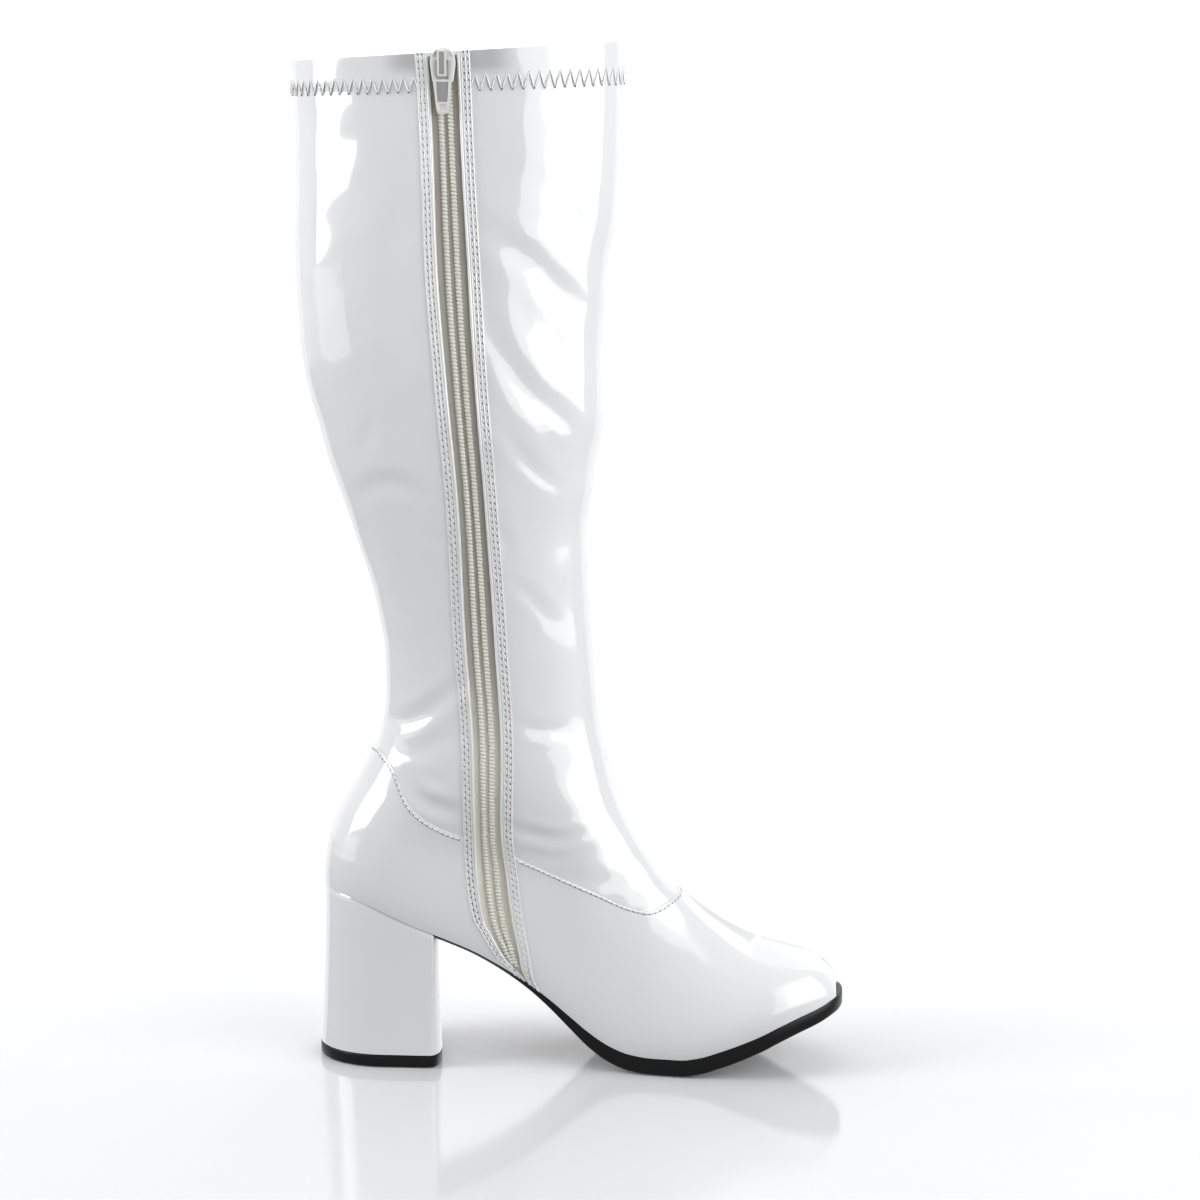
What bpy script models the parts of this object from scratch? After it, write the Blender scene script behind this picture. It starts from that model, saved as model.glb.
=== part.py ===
# Knee-high white patent go go boot, left foot, standing empty on its sole.
# Metres. +X toward the toe, +Y toward the outer side, +Z up.
# The origin is the middle of the top piece's ground face.
import math
import bpy
import bmesh
import numpy as np
from mathutils import Vector

# Driving sizes
BOOT_HEIGHT = 0.4685        # ground to the highest point of the collar
FOOT_LENGTH = 0.2390        # feather line, back of heel seat to toe
BALL_WIDTH = 0.0800         # upper across the ball at the feather line
SEAT_HEIGHT = 0.0815        # ground to the heel seat
SHAFT_WIDTH = 0.0860        # across the top of the shaft
SHAFT_WALL = 0.0016         # upper material with its lining
FOOT_WALL = 0.0022          # vamp and counter, with stiffener
OVERLAY_STEP = 0.0005       # height of vamp, counter, hem and zip facing steps
SOLE_THICKNESS = 0.0080     # outsole at the ball
SOLE_MARGIN = 0.0010        # outsole beyond the upper
SOLE_EDGE = 0.0012          # rounding at the bottom edge of the outsole
WAIST_TUCK = 0.0025         # how far the waist's bottom face is tucked in
BULGE_RISE = 0.0150         # height of the fullest point above the feather line
HEEL_WIDTH = 0.0560         # heel block across its foot
HEEL_BACK = -0.0269         # back of the heel seat along X
HEEL_BREAST = 0.0258        # front of the heel block at the seat
HEEL_FLARE_BACK = 0.0032    # how far the heel's foot reaches behind the seat
HEEL_FLARE_FRONT = 0.0034   # and in front of the breast
HEEL_SKEW = 0.115           # slope of the breast face at its foot, inner corner forward
HEEL_CORNER = 0.0055        # length of the rounded breast corners
LIFT_THICKNESS = 0.0055     # black top piece under the heel
LIFT_EDGE = 0.0004          # its worn-off bottom edge
INSOLE_THICKNESS = 0.0020
INSOLE_TOE_ROOM = 0.0040    # from the insole's tip to the lining at the toe
INSOLE_HEEL_ROOM = 0.0004   # and at the heel
GAP = 0.0003                # clearance between touching pieces
ZIP_GAP = 0.0128            # opening between the two zip facings
FACING_WIDTH = 0.0057       # folded and stitched strip beside the zip
TAPE_THICKNESS = 0.0006
TAPE_OVERLAP = 0.0040       # tape hidden behind each facing
TAPE_DROP = 0.0015          # top of the tape below the collar's rim
COIL_PITCH = 0.0044         # centre to centre of the two coils
COIL_WIDTH = 0.0024
COIL_HEIGHT = 0.0014
SLIDER_WIDTH = 0.0116
SLIDER_LENGTH = 0.0150
SLIDER_THICKNESS = 0.0030
SLIDER_DROP = 0.0057        # slider centre below the collar at the zip
BRIDGE_WIDTH = 0.0040
BRIDGE_BAR = 0.0012
BRIDGE_CORNER = 0.0006      # cut corners of the bridge
HINGE_UP = 0.0030           # hinge axis above the slider's middle
HINGE_PLAY = 0.0004         # play round the pull under the bridge
PULL_BAR = 0.0007           # half height of the pull's top bar
PULL_PLAY = 0.0007          # play beside the bridge in the pull's window
PULL_CORNER = 0.0006        # cut corners of the pull
PULL_LENGTH = 0.0235
PULL_WIDTH = 0.0100
PULL_TIP_WIDTH = 0.0054
PULL_THICKNESS = 0.0014

# Columns round the upper, counted on each side
BACK_COLUMNS = 10           # back seam to the rear facing
FRONT_COLUMNS = 10          # front facing to the front line
OUTER_COLUMNS = 22          # outer side, back to front
SLOT_FIRST_RING = 2         # rings below this one stay closed under the zip

# Sole stations: share of FOOT_LENGTH, seat line as share of the rise from the
# top of the sole at the ball to the heel seat, outsole thickness as share of
# SOLE_THICKNESS, inner and outer half widths of the feather line as shares of
# BALL_WIDTH, before heel and toe close in.
SOLE_ROWS = (
    (-0.020, 1.0002, 0.28, 0.330, 0.330),
    (0.040, 0.9891, 0.28, 0.330, 0.330),
    (0.095, 0.9392, 0.28, 0.332, 0.332),
    (0.145, 0.8649, 0.28, 0.334, 0.336),
    (0.195, 0.7917, 0.28, 0.330, 0.340),
    (0.255, 0.7141, 0.28, 0.322, 0.342),
    (0.295, 0.6564, 0.29, 0.312, 0.346),
    (0.332, 0.5910, 0.32, 0.303, 0.352),
    (0.370, 0.5167, 0.37, 0.299, 0.360),
    (0.410, 0.4313, 0.46, 0.298, 0.376),
    (0.448, 0.3382, 0.60, 0.302, 0.402),
    (0.487, 0.2340, 0.78, 0.311, 0.434),
    (0.526, 0.1320, 0.94, 0.324, 0.468),
    (0.565, 0.0554, 1.00, 0.342, 0.500),
    (0.604, 0.0122, 1.00, 0.362, 0.525),
    (0.643, 0.0000, 1.00, 0.386, 0.542),
    (0.700, 0.0000, 1.00, 0.410, 0.548),
    (0.741, 0.0233, 1.00, 0.421, 0.543),
    (0.777, 0.0632, 1.00, 0.423, 0.532),
    (0.810, 0.1020, 0.99, 0.416, 0.514),
    (0.854, 0.1608, 0.96, 0.400, 0.490),
    (0.892, 0.2196, 0.94, 0.380, 0.462),
    (0.930, 0.2683, 0.92, 0.356, 0.430),
    (0.968, 0.3083, 0.91, 0.336, 0.398),
    (1.000, 0.3471, 0.91, 0.325, 0.375),
    (1.040, 0.3792, 0.91, 0.320, 0.370),
)
HEEL_ROUND = 0.128          # length of the round heel end, share of FOOT_LENGTH
TOE_ROUND = 0.150           # length of the round toe end
TOE_TIP = 1.006             # where the round toe closes
TOE_POWER = 2.3             # 2 is an ellipse, more is squarer

# Rings of the upper from the feather line to the collar. Along values are
# shares of FOOT_LENGTH, heights shares of BOOT_HEIGHT, dip is how much of
# the arched feather line the ring still follows.
RING_ROWS = (
    (0.0000, 0.1740, 0.9967, 0.0730, 1.00),
    (0.0000, 0.1804, 0.9954, 0.0811, 0.92),
    (0.0004, 0.1878, 0.9860, 0.0925, 0.84),
    (0.0017, 0.1953, 0.9690, 0.1018, 0.76),
    (0.0038, 0.2028, 0.9418, 0.1101, 0.67),
    (0.0059, 0.2102, 0.9042, 0.1171, 0.53),
    (0.0088, 0.2166, 0.8623, 0.1232, 0.38),
    (0.0117, 0.2241, 0.8184, 0.1306, 0.26),
    (0.0167, 0.2316, 0.7745, 0.1407, 0.15),
    (0.0222, 0.2391, 0.7326, 0.1528, 0.07),
    (0.0280, 0.2465, 0.6937, 0.1686, 0.02),
    (0.0347, 0.2540, 0.6594, 0.1868, 0.00),
    (0.0435, 0.2625, 0.6314, 0.2070, 0.00),
    (0.0544, 0.2721, 0.6084, 0.2273, 0.00),
    (0.0661, 0.2818, 0.5891, 0.2472, 0.00),
    (0.0795, 0.2946, 0.5728, 0.2689, 0.00),
    (0.0937, 0.3095, 0.5590, 0.2914, 0.00),
    (0.1079, 0.3255, 0.5477, 0.3159, 0.00),
    (0.1176, 0.3426, 0.5372, 0.3415, 0.00),
    (0.1222, 0.3629, 0.5326, 0.3650, 0.00),
    (0.1222, 0.3906, 0.5280, 0.3927, 0.00),
    (0.1197, 0.4205, 0.5238, 0.4226, 0.00),
    (0.1096, 0.4482, 0.5192, 0.4504, 0.00),
    (0.0979, 0.4760, 0.5163, 0.4781, 0.00),
    (0.0820, 0.5037, 0.5146, 0.5059, 0.00),
    (0.0611, 0.5368, 0.5138, 0.5390, 0.00),
    (0.0381, 0.5699, 0.5238, 0.5720, 0.00),
    (0.0167, 0.5998, 0.5305, 0.6019, 0.00),
    (0.0004, 0.6318, 0.5444, 0.6339, 0.00),
    (-0.0184, 0.6681, 0.5477, 0.6702, 0.00),
    (-0.0331, 0.7086, 0.5473, 0.7108, 0.00),
    (-0.0402, 0.7513, 0.5523, 0.7545, 0.00),
    (-0.0427, 0.7940, 0.5611, 0.7983, 0.00),
    (-0.0423, 0.8388, 0.5757, 0.8431, 0.00),
    (-0.0393, 0.8837, 0.5812, 0.8901, 0.00),
    (-0.0393, 0.9242, 0.5824, 0.9328, 0.00),
    (-0.0418, 0.9509, 0.5828, 0.9626, 0.00),
    (-0.0418, 0.9526, 0.5828, 0.9643, 0.00),
    (-0.0435, 0.9814, 0.5841, 1.0000, 0.00),
)
HEM_FIRST_RING = 37         # first ring of the turned hem band

# Top line of the vamp and instep: share along, share of height
TOP_ROWS = (
    (0.300, 1.400), (0.430, 0.900), (0.500, 0.560), (0.5372, 0.350),
    (0.5570, 0.2914), (0.5763, 0.2610), (0.5958, 0.2399), (0.6155, 0.2207),
    (0.6351, 0.2066), (0.6548, 0.1915), (0.6933, 0.1700), (0.7326, 0.1545),
    (0.7716, 0.1415), (0.8104, 0.1322), (0.8494, 0.1252), (0.8883, 0.1196),
    (0.9275, 0.1132), (0.9471, 0.1088), (0.9669, 0.1026), (0.9860, 0.0925),
    (0.9940, 0.0840), (0.9990, 0.0735), (1.0100, 0.0500),
)
# Half width of the shaft: share of height, share of SHAFT_WIDTH
SHAFT_ROWS = (
    (0.20, 0.400), (0.27, 0.385), (0.32, 0.368), (0.37, 0.362), (0.43, 0.370),
    (0.50, 0.398), (0.57, 0.440), (0.64, 0.478), (0.74, 0.506), (0.85, 0.512),
    (0.95, 0.502), (1.02, 0.500),
)
# Middle of the zip: share of height, share along, gap as share of ZIP_GAP
ZIP_ROWS = (
    (0.060, 0.4200, 0.25), (0.090, 0.4010, 0.30), (0.103, 0.3810, 0.55),
    (0.130, 0.3600, 0.95), (0.141, 0.3520, 1.10), (0.192, 0.3370, 1.05),
    (0.245, 0.3310, 0.88), (0.312, 0.3320, 0.95), (0.438, 0.3190, 1.00),
    (0.563, 0.3080, 0.90), (0.686, 0.2910, 0.95), (0.785, 0.2795, 1.03),
    (0.903, 0.2705, 0.95), (0.983, 0.2640, 0.98), (1.020, 0.2610, 1.00),
)
# Edge of the counter and of the vamp in side view: share along, share of height
COUNTER_ROWS = (
    (0.1150, 0.3160), (0.1470, 0.3010), (0.1790, 0.2670), (0.2270, 0.2470), (0.2900, 0.2340), (0.3600, 0.2250),
)
VAMP_ROWS = (
    (0.3500, 0.2180), (0.4220, 0.2050), (0.5190, 0.1800), (0.5990, 0.1590), (0.6330, 0.1540), (0.6930, 0.1640), (0.7200, 0.1700),
)


def smooth_curve(rows, column, at):
    """Monotone cubic through the first column and one other column."""
    xs = np.array([row[0] for row in rows], float)
    ys = np.array([row[column] for row in rows], float)
    at = np.clip(np.asarray(at, float), xs[0], xs[-1])
    step = np.diff(xs)
    slope = np.diff(ys) / step
    tangent = np.zeros(len(xs))
    for k in range(1, len(xs) - 1):
        if slope[k - 1] * slope[k] > 0:
            w1 = 2 * step[k] + step[k - 1]
            w2 = step[k] + 2 * step[k - 1]
            tangent[k] = (w1 + w2) / (w1 / slope[k - 1] + w2 / slope[k])
    tangent[0] = slope[0]
    tangent[-1] = slope[-1]
    k = np.clip(np.searchsorted(xs, at) - 1, 0, len(xs) - 2)
    t = (at - xs[k]) / step[k]
    h00 = 2 * t ** 3 - 3 * t ** 2 + 1
    h10 = t ** 3 - 2 * t ** 2 + t
    h01 = -2 * t ** 3 + 3 * t ** 2
    h11 = t ** 3 - t ** 2
    return h00 * ys[k] + h10 * step[k] * tangent[k] + h01 * ys[k + 1] + h11 * step[k] * tangent[k + 1]


def closing(distance, length, power):
    """Rises from 0 to 1 over the length, as the end of an oval does."""
    a = np.clip(distance / length, 0.0, 1.0)
    return (1.0 - (1.0 - a) ** power) ** (1.0 / power)


def ease(value):
    """Soft step from 0 to 1."""
    t = np.clip(value, 0.0, 1.0)
    return t * t * (3 - 2 * t)


def seat_z(x):
    """Height of the seat line, the top of sole and heel."""
    share = smooth_curve(SOLE_ROWS, 1, (np.asarray(x) - HEEL_BACK) / FOOT_LENGTH)
    return SOLE_THICKNESS + (SEAT_HEIGHT - SOLE_THICKNESS) * share


def sole_thickness(x):
    return SOLE_THICKNESS * smooth_curve(SOLE_ROWS, 2, (np.asarray(x) - HEEL_BACK) / FOOT_LENGTH)


def feather_half_width(x, side, back=None, tip=None):
    """Half width of the feather line; side -1 is inner, +1 outer."""
    share = (np.asarray(x, float) - HEEL_BACK) / FOOT_LENGTH
    start = 0.0 if back is None else (back - HEEL_BACK) / FOOT_LENGTH
    end = TOE_TIP if tip is None else tip
    plain = BALL_WIDTH * smooth_curve(SOLE_ROWS, 3 if side < 0 else 4, share)
    heel = closing(share - start, HEEL_ROUND, 2.0)
    toe = closing(end - share, TOE_ROUND, TOE_POWER)
    return plain * heel * toe


def upper_half_width(x, z, ring, side):
    """Half width of the upper at a point of one ring."""
    row = RING_ROWS[ring]
    back = HEEL_BACK + row[0] * FOOT_LENGTH
    front = HEEL_BACK + row[2] * FOOT_LENGTH
    share = (x - HEEL_BACK) / FOOT_LENGTH
    low = seat_z(x)
    high = BOOT_HEIGHT * smooth_curve(TOP_ROWS, 1, share)
    level = np.clip((z - low) / np.maximum(high - low, 1e-5), 0.0, 1.0)
    dome = np.sqrt(np.clip(1.0 - level ** 1.9, 0.0, 1.0))
    rise = np.clip((z - low) / BULGE_RISE, 0.0, 8.0)
    bulge = 1.0 + 0.05 * rise * np.exp(1.0 - rise)
    foot = feather_half_width(x, side, back=back) * dome * bulge
    run = np.clip((x - back) / (front - back), 0.0, 1.0)
    oval = 2.0 * np.sqrt(run * (1.0 - run))
    middle_z = 0.5 * (row[1] + row[3])
    leg = SHAFT_WIDTH * smooth_curve(SHAFT_ROWS, 1, middle_z) * oval
    blend = ease((row[3] - 0.150) / 0.165)
    width = (1.0 - blend) * foot + blend * leg
    return np.where((run <= 1e-9) | (run >= 1 - 1e-9), 0.0, width)


def ring_point(ring, along, side):
    """A point of one ring; along goes 0 at the back to 1 at the front."""
    row = RING_ROWS[ring]
    back_x = HEEL_BACK + row[0] * FOOT_LENGTH
    front_x = HEEL_BACK + row[2] * FOOT_LENGTH
    x = back_x + (front_x - back_x) * 0.5 * (1.0 - math.cos(math.pi * along))
    z = ring_height(ring, x)
    width = float(upper_half_width(np.array([x]), np.array([z]), ring, side)[0])
    return np.array([x, side * width, z])


def ring_height(ring, x):
    """Height of a ring at x: its chord plus what it keeps of the arch."""
    row = RING_ROWS[ring]
    back_x = HEEL_BACK + row[0] * FOOT_LENGTH
    front_x = HEEL_BACK + row[2] * FOOT_LENGTH
    run = (x - back_x) / (front_x - back_x)
    chord = BOOT_HEIGHT * (row[1] + (row[3] - row[1]) * run)
    first = RING_ROWS[0]
    base_back = HEEL_BACK + first[0] * FOOT_LENGTH
    base_front = HEEL_BACK + first[2] * FOOT_LENGTH
    base_run = (x - base_back) / (base_front - base_back)
    ends = seat_z(np.array([base_back, base_front]))
    base = ends[0] + (ends[1] - ends[0]) * base_run
    arch = float(seat_z(np.array([x]))[0]) - base
    if ring == 0:
        return base + arch + GAP
    return chord + row[4] * arch


def along_of(ring, x):
    """The along value whose point has this x."""
    row = RING_ROWS[ring]
    back_x = HEEL_BACK + row[0] * FOOT_LENGTH
    front_x = HEEL_BACK + row[2] * FOOT_LENGTH
    run = min(max((x - back_x) / (front_x - back_x), 0.0), 1.0)
    return math.acos(1.0 - 2.0 * run) / math.pi


def zip_edges(ring):
    """Rear and front edge of the zip gap on one ring, as x values."""
    x = HEEL_BACK + 0.30 * FOOT_LENGTH
    for _ in range(12):
        share = ring_height(ring, x) / BOOT_HEIGHT
        x = HEEL_BACK + FOOT_LENGTH * float(smooth_curve(ZIP_ROWS, 1, share))
    half = 0.5 * ZIP_GAP * float(smooth_curve(ZIP_ROWS, 2, share))
    return x - half, x + half


def ring_alongs(ring):
    """(along, side) of every column of one ring, round the boot."""
    rear, front = zip_edges(ring)
    a_rear = along_of(ring, rear)
    a_front = along_of(ring, front)
    a_rear_strip = along_of(ring, rear - FACING_WIDTH)
    a_front_strip = along_of(ring, front + FACING_WIDTH)
    a_rear_step = along_of(ring, rear - FACING_WIDTH - OVERLAY_STEP)
    a_front_step = along_of(ring, front + FACING_WIDTH + OVERLAY_STEP)
    inner = [a_rear_step * k / BACK_COLUMNS for k in range(BACK_COLUMNS + 1)]
    inner += [a_rear_strip, a_rear, a_front, a_front_strip]
    inner += [a_front_step + (1.0 - a_front_step) * k / FRONT_COLUMNS for k in range(FRONT_COLUMNS + 1)]
    outer = [1.0 - k / OUTER_COLUMNS for k in range(1, OUTER_COLUMNS)]
    return [(a, -1) for a in inner] + [(a, 1) for a in outer]


REAR_EDGE = BACK_COLUMNS + 2    # column of the rear zip edge
FRONT_EDGE = REAR_EDGE + 1      # column of the front zip edge


def upper_grid():
    """Outer surface points (rings, columns, 3) before overlay steps."""
    return np.array([[ring_point(r, a, s) for a, s in ring_alongs(r)] for r in range(len(RING_ROWS))])


def grid_normals(grid):
    """Outward normals of a grid closed round its columns."""
    round_way = np.roll(grid, -1, axis=1) - np.roll(grid, 1, axis=1)
    up_way = np.gradient(grid, axis=0)
    normal = np.cross(round_way, up_way)
    length = np.linalg.norm(normal, axis=2, keepdims=True)
    normal = normal / np.maximum(length, 1e-12)
    centre = grid.mean(axis=1, keepdims=True)
    sign = np.sign(np.mean(np.sum(normal * (grid - centre), axis=2)))
    return normal * (1.0 if sign >= 0 else -1.0)


def overlay_height(grid):
    """How far each point of the upper is stepped out by an overlay."""
    rings, columns = grid.shape[:2]
    height = np.zeros((rings, columns))
    share_x = (grid[:, :, 0] - HEEL_BACK) / FOOT_LENGTH
    share_z = grid[:, :, 2] / BOOT_HEIGHT
    counter = (share_x < 0.36) & (share_z < smooth_curve(COUNTER_ROWS, 1, share_x))
    vamp = (share_x > 0.36) & (share_z < smooth_curve(VAMP_ROWS, 1, share_x))
    height[counter | vamp] = 0.6 * OVERLAY_STEP
    height[:, REAR_EDGE - 1:FRONT_EDGE + 2] = OVERLAY_STEP
    height[HEM_FIRST_RING:, :] = OVERLAY_STEP
    height[:SLOT_FIRST_RING, :] = 0.0
    return height


def link(name, bm, colour, roughness, metallic):
    """Turn a bmesh into a named, smooth shaded object with its own material."""
    mesh = bpy.data.meshes.new(name)
    bmesh.ops.recalc_face_normals(bm, faces=bm.faces)
    if bm.calc_volume(signed=True) < 0:
        bmesh.ops.reverse_faces(bm, faces=bm.faces)
    bm.to_mesh(mesh)
    bm.free()
    obj = bpy.data.objects.new(name, mesh)
    bpy.context.scene.collection.objects.link(obj)
    for polygon in mesh.polygons:
        polygon.use_smooth = True
    material = bpy.data.materials.new(name)
    material.use_nodes = True
    shader = material.node_tree.nodes["Principled BSDF"]
    shader.inputs["Base Color"].default_value = (*colour, 1.0)
    shader.inputs["Roughness"].default_value = roughness
    shader.inputs["Metallic"].default_value = metallic
    mesh.materials.append(material)
    return obj


def ring_stack(rings, cap=True):
    """Closed solid from rings of equal length, first and last ones capped."""
    bm = bmesh.new()
    rows = [[bm.verts.new(p) for p in ring] for ring in rings]
    count = len(rows[0])
    for a, b in zip(rows, rows[1:]):
        for k in range(count):
            bm.faces.new((a[k], a[(k + 1) % count], b[(k + 1) % count], b[k]))
    if cap:
        bm.faces.new(list(reversed(rows[0])))
        bm.faces.new(rows[-1])
    return bm


def band_solid(outline_rows):
    """Closed solid from stations across the foot: each row is top inner, top
    middle, top outer, then bottom outer to bottom inner with its steps."""
    bm = bmesh.new()
    rows = [[bm.verts.new(p) for p in row] for row in outline_rows]
    count = len(rows[0])
    for a, b in zip(rows, rows[1:]):
        for k in range(count):
            bm.faces.new((a[k], b[k], b[(k + 1) % count], a[(k + 1) % count]))
    bm.faces.new(rows[0])
    bm.faces.new(list(reversed(rows[-1])))
    return bm


def make_upper():
    """One hollow boot wall, open at collar, zip gap and feather line."""
    grid = upper_grid()
    normal = grid_normals(grid)
    outer = grid + normal * overlay_height(grid)[:, :, None]
    share_z = grid[:, :, 2] / BOOT_HEIGHT
    wall = SHAFT_WALL + (FOOT_WALL - SHAFT_WALL) * (1.0 - ease((share_z - 0.22) / 0.10))
    inner = grid - normal * wall[:, :, None]
    for side in (outer, inner):
        for k in range(grid.shape[1]):
            side[0, k, 2] = float(seat_z(np.array([side[0, k, 0]]))[0]) + GAP
    outer[-1, :, 2] = grid[-1, :, 2]
    inner[-1, :, 2] = grid[-1, :, 2]
    rings, columns = grid.shape[:2]
    bm = bmesh.new()
    out = [[bm.verts.new(p) for p in row] for row in outer]
    inn = [[bm.verts.new(p) for p in row] for row in inner]
    for r in range(rings - 1):
        for c in range(columns):
            n = (c + 1) % columns
            if c == REAR_EDGE and r >= SLOT_FIRST_RING:
                bm.faces.new((out[r][c], out[r + 1][c], inn[r + 1][c], inn[r][c]))
                bm.faces.new((out[r][n], inn[r][n], inn[r + 1][n], out[r + 1][n]))
                continue
            bm.faces.new((out[r][c], out[r][n], out[r + 1][n], out[r + 1][c]))
            bm.faces.new((inn[r][c], inn[r + 1][c], inn[r + 1][n], inn[r][n]))
    for c in range(columns):
        n = (c + 1) % columns
        bm.faces.new((out[0][n], out[0][c], inn[0][c], inn[0][n]))
        if c != REAR_EDGE:
            bm.faces.new((out[-1][c], out[-1][n], inn[-1][n], inn[-1][c]))
        else:
            r = SLOT_FIRST_RING
            bm.faces.new((out[r][c], out[r][n], inn[r][n], inn[r][c]))
    obj = link("upper", bm, (0.86, 0.87, 0.87), 0.16, 0.0)
    return obj


def stations(first, last, count, start_round, end_round):
    """Station x values, closer together where an end is round."""
    values = []
    for k in range(count + 1):
        t = k / count
        if start_round and end_round:
            t = 0.5 * (1 - math.cos(math.pi * t))
        elif end_round:
            t = math.sin(0.5 * math.pi * t)
        values.append(first + (last - first) * t)
    return np.array(values)


def make_outsole():
    """Black outsole from the heel breast through the waist to the toe."""
    first = HEEL_BREAST + GAP
    last = HEEL_BACK + FOOT_LENGTH * TOE_TIP + SOLE_MARGIN - 0.0002
    rows = []
    for x in stations(first, last, 44, False, True):
        share = (x - HEEL_BACK) / FOOT_LENGTH
        margin = SOLE_MARGIN * float(ease((share - 0.35) / 0.25))
        tip = TOE_TIP + margin / FOOT_LENGTH
        inner = float(feather_half_width(np.array([x]), -1, tip=tip)[0]) + margin
        outer = float(feather_half_width(np.array([x]), 1, tip=tip)[0]) + margin
        top = float(seat_z(np.array([x]))[0])
        thick = float(sole_thickness(np.array([x]))[0])
        edge = min(SOLE_EDGE, 0.35 * thick, 0.4 * min(inner, outer))
        tuck = edge + WAIST_TUCK * (1.0 - float(ease((share - 0.34) / 0.18)))
        low = top - thick
        rows.append([
            (x, -inner, top), (x, 0.5 * (outer - inner), top), (x, outer, top),
            (x, outer, low + edge), (x, outer - tuck, low),
            (x, 0.5 * (outer - inner), low), (x, -inner + tuck, low), (x, -inner, low + edge),
        ])
    return link("outsole", band_solid(rows), (0.012, 0.012, 0.013), 0.42, 0.0)


def heel_outline(back, front, half_width, skew, count=44):
    """D-shaped outline of the heel, round at the back, its breast face askew."""
    points = []
    for k in range(count):
        angle = 2 * math.pi * k / count
        along = 0.5 * (1 - math.cos(angle if angle <= math.pi else 2 * math.pi - angle))
        side = -1 if angle <= math.pi else 1
        x = back + (front - back) * along
        width = half_width * float(closing(x - back, HEEL_ROUND * FOOT_LENGTH, 2.0))
        width *= float(closing(front - x, HEEL_CORNER, 2.6))
        points.append((x - skew * side * width * along ** 2, side * width))
    return points


# Heel block: share of its height, share of each flare, width as share of HEEL_WIDTH
HEEL_ROWS = (
    (0.00, 1.00, 1.000), (0.10, 0.80, 0.988), (0.25, 0.56, 0.972), (0.45, 0.34, 0.958),
    (0.65, 0.17, 0.950), (0.85, 0.05, 0.948), (1.00, 0.00, 0.946),
)


def make_heel():
    """Covered block heel, flaring a little to its foot."""
    low = LIFT_THICKNESS + GAP
    rings = []
    for share, flare, width in HEEL_ROWS:
        outline = heel_outline(HEEL_BACK - flare * HEEL_FLARE_BACK, HEEL_BREAST + flare * HEEL_FLARE_FRONT,
                               0.5 * HEEL_WIDTH * width, flare * HEEL_SKEW)
        ring = []
        for x, y in outline:
            top = float(seat_z(np.array([x]))[0])
            ring.append((x, y, low + (top - low) * share))
        rings.append(ring)
    bm = ring_stack(rings, cap=False)
    bm.verts.ensure_lookup_table()
    count = len(rings[0])
    cap_strip(bm, [bm.verts[k] for k in range(count)])
    cap_strip(bm, [bm.verts[(len(rings) - 1) * count + k] for k in range(count)])
    return link("heel", bm, (0.86, 0.87, 0.87), 0.16, 0.0)


def cap_strip(bm, ring):
    """Close a ring with strips across it, point k to its mirror point."""
    count = len(ring)
    half = count // 2
    bm.faces.new((ring[0], ring[1], ring[count - 1]))
    for k in range(1, half - 1):
        bm.faces.new((ring[k], ring[k + 1], ring[count - k - 1], ring[count - k]))
    bm.faces.new((ring[half - 1], ring[half], ring[half + 1]))


def make_heel_lift():
    """Black top piece under the heel, its ground face at z = 0."""
    back = HEEL_BACK - HEEL_FLARE_BACK
    front = HEEL_BREAST + HEEL_FLARE_FRONT
    outline = heel_outline(back, front, 0.5 * HEEL_WIDTH, HEEL_SKEW)
    small = heel_outline(back + LIFT_EDGE, front - LIFT_EDGE, 0.5 * HEEL_WIDTH - LIFT_EDGE, HEEL_SKEW)
    rings = [[(x, y, 0.0) for x, y in small], [(x, y, LIFT_EDGE) for x, y in outline],
             [(x, y, LIFT_THICKNESS) for x, y in outline]]
    bm = ring_stack(rings, cap=False)
    bm.verts.ensure_lookup_table()
    count = len(outline)
    cap_strip(bm, [bm.verts[k] for k in range(count)])
    cap_strip(bm, [bm.verts[2 * count + k] for k in range(count)])
    return link("heel_lift", bm, (0.014, 0.014, 0.015), 0.50, 0.0)


def make_insole():
    """Insole board that closes the upper from inside, on sole and heel."""
    inset = FOOT_WALL + 3 * GAP
    first = HEEL_BACK + inset + INSOLE_HEEL_ROOM
    last = HEEL_BACK + 0.9967 * FOOT_LENGTH - inset - INSOLE_TOE_ROOM
    rows = []
    for x in stations(first, last, 36, True, True):
        share = (x - HEEL_BACK) / FOOT_LENGTH
        sides = []
        for side in (-1, 1):
            width = float(feather_half_width(np.array([x]), side, back=HEEL_BACK + inset,
                                             tip=(last - HEEL_BACK) / FOOT_LENGTH + 0.002)[0])
            plain = float(feather_half_width(np.array([x]), side)[0])
            sides.append(max(min(width, plain - inset), 0.0012))
        inner, outer = sides
        low = float(seat_z(np.array([x]))[0]) + GAP
        high = low + INSOLE_THICKNESS
        middle = 0.5 * (outer - inner)
        rows.append([(x, -inner, high), (x, middle, high), (x, outer, high),
                     (x, outer, low), (x, middle, low), (x, -inner, low)])
    return link("insole", band_solid(rows), (0.62, 0.60, 0.56), 0.75, 0.0)


def zip_line(extra, depth, grid_rings):
    """Points along the zip: x at the middle plus extra, on the upper's inner
    side plus depth outward; one point a ring."""
    points = []
    for ring in grid_rings:
        rear, front = zip_edges(ring)
        x = 0.5 * (rear + front) + extra
        z = ring_height(ring, x)
        step = 0.0005
        here = surface_point(ring, x)
        round_way = surface_point(ring, x + step) - surface_point(ring, x - step)
        below = surface_point(max(ring - 1, 0), x)
        above = surface_point(min(ring + 1, len(RING_ROWS) - 1), x)
        normal = np.cross(round_way, above - below)
        normal = normal / np.linalg.norm(normal)
        if normal[1] > 0:
            normal = -normal
        points.append(here + normal * depth)
    return points


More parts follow.
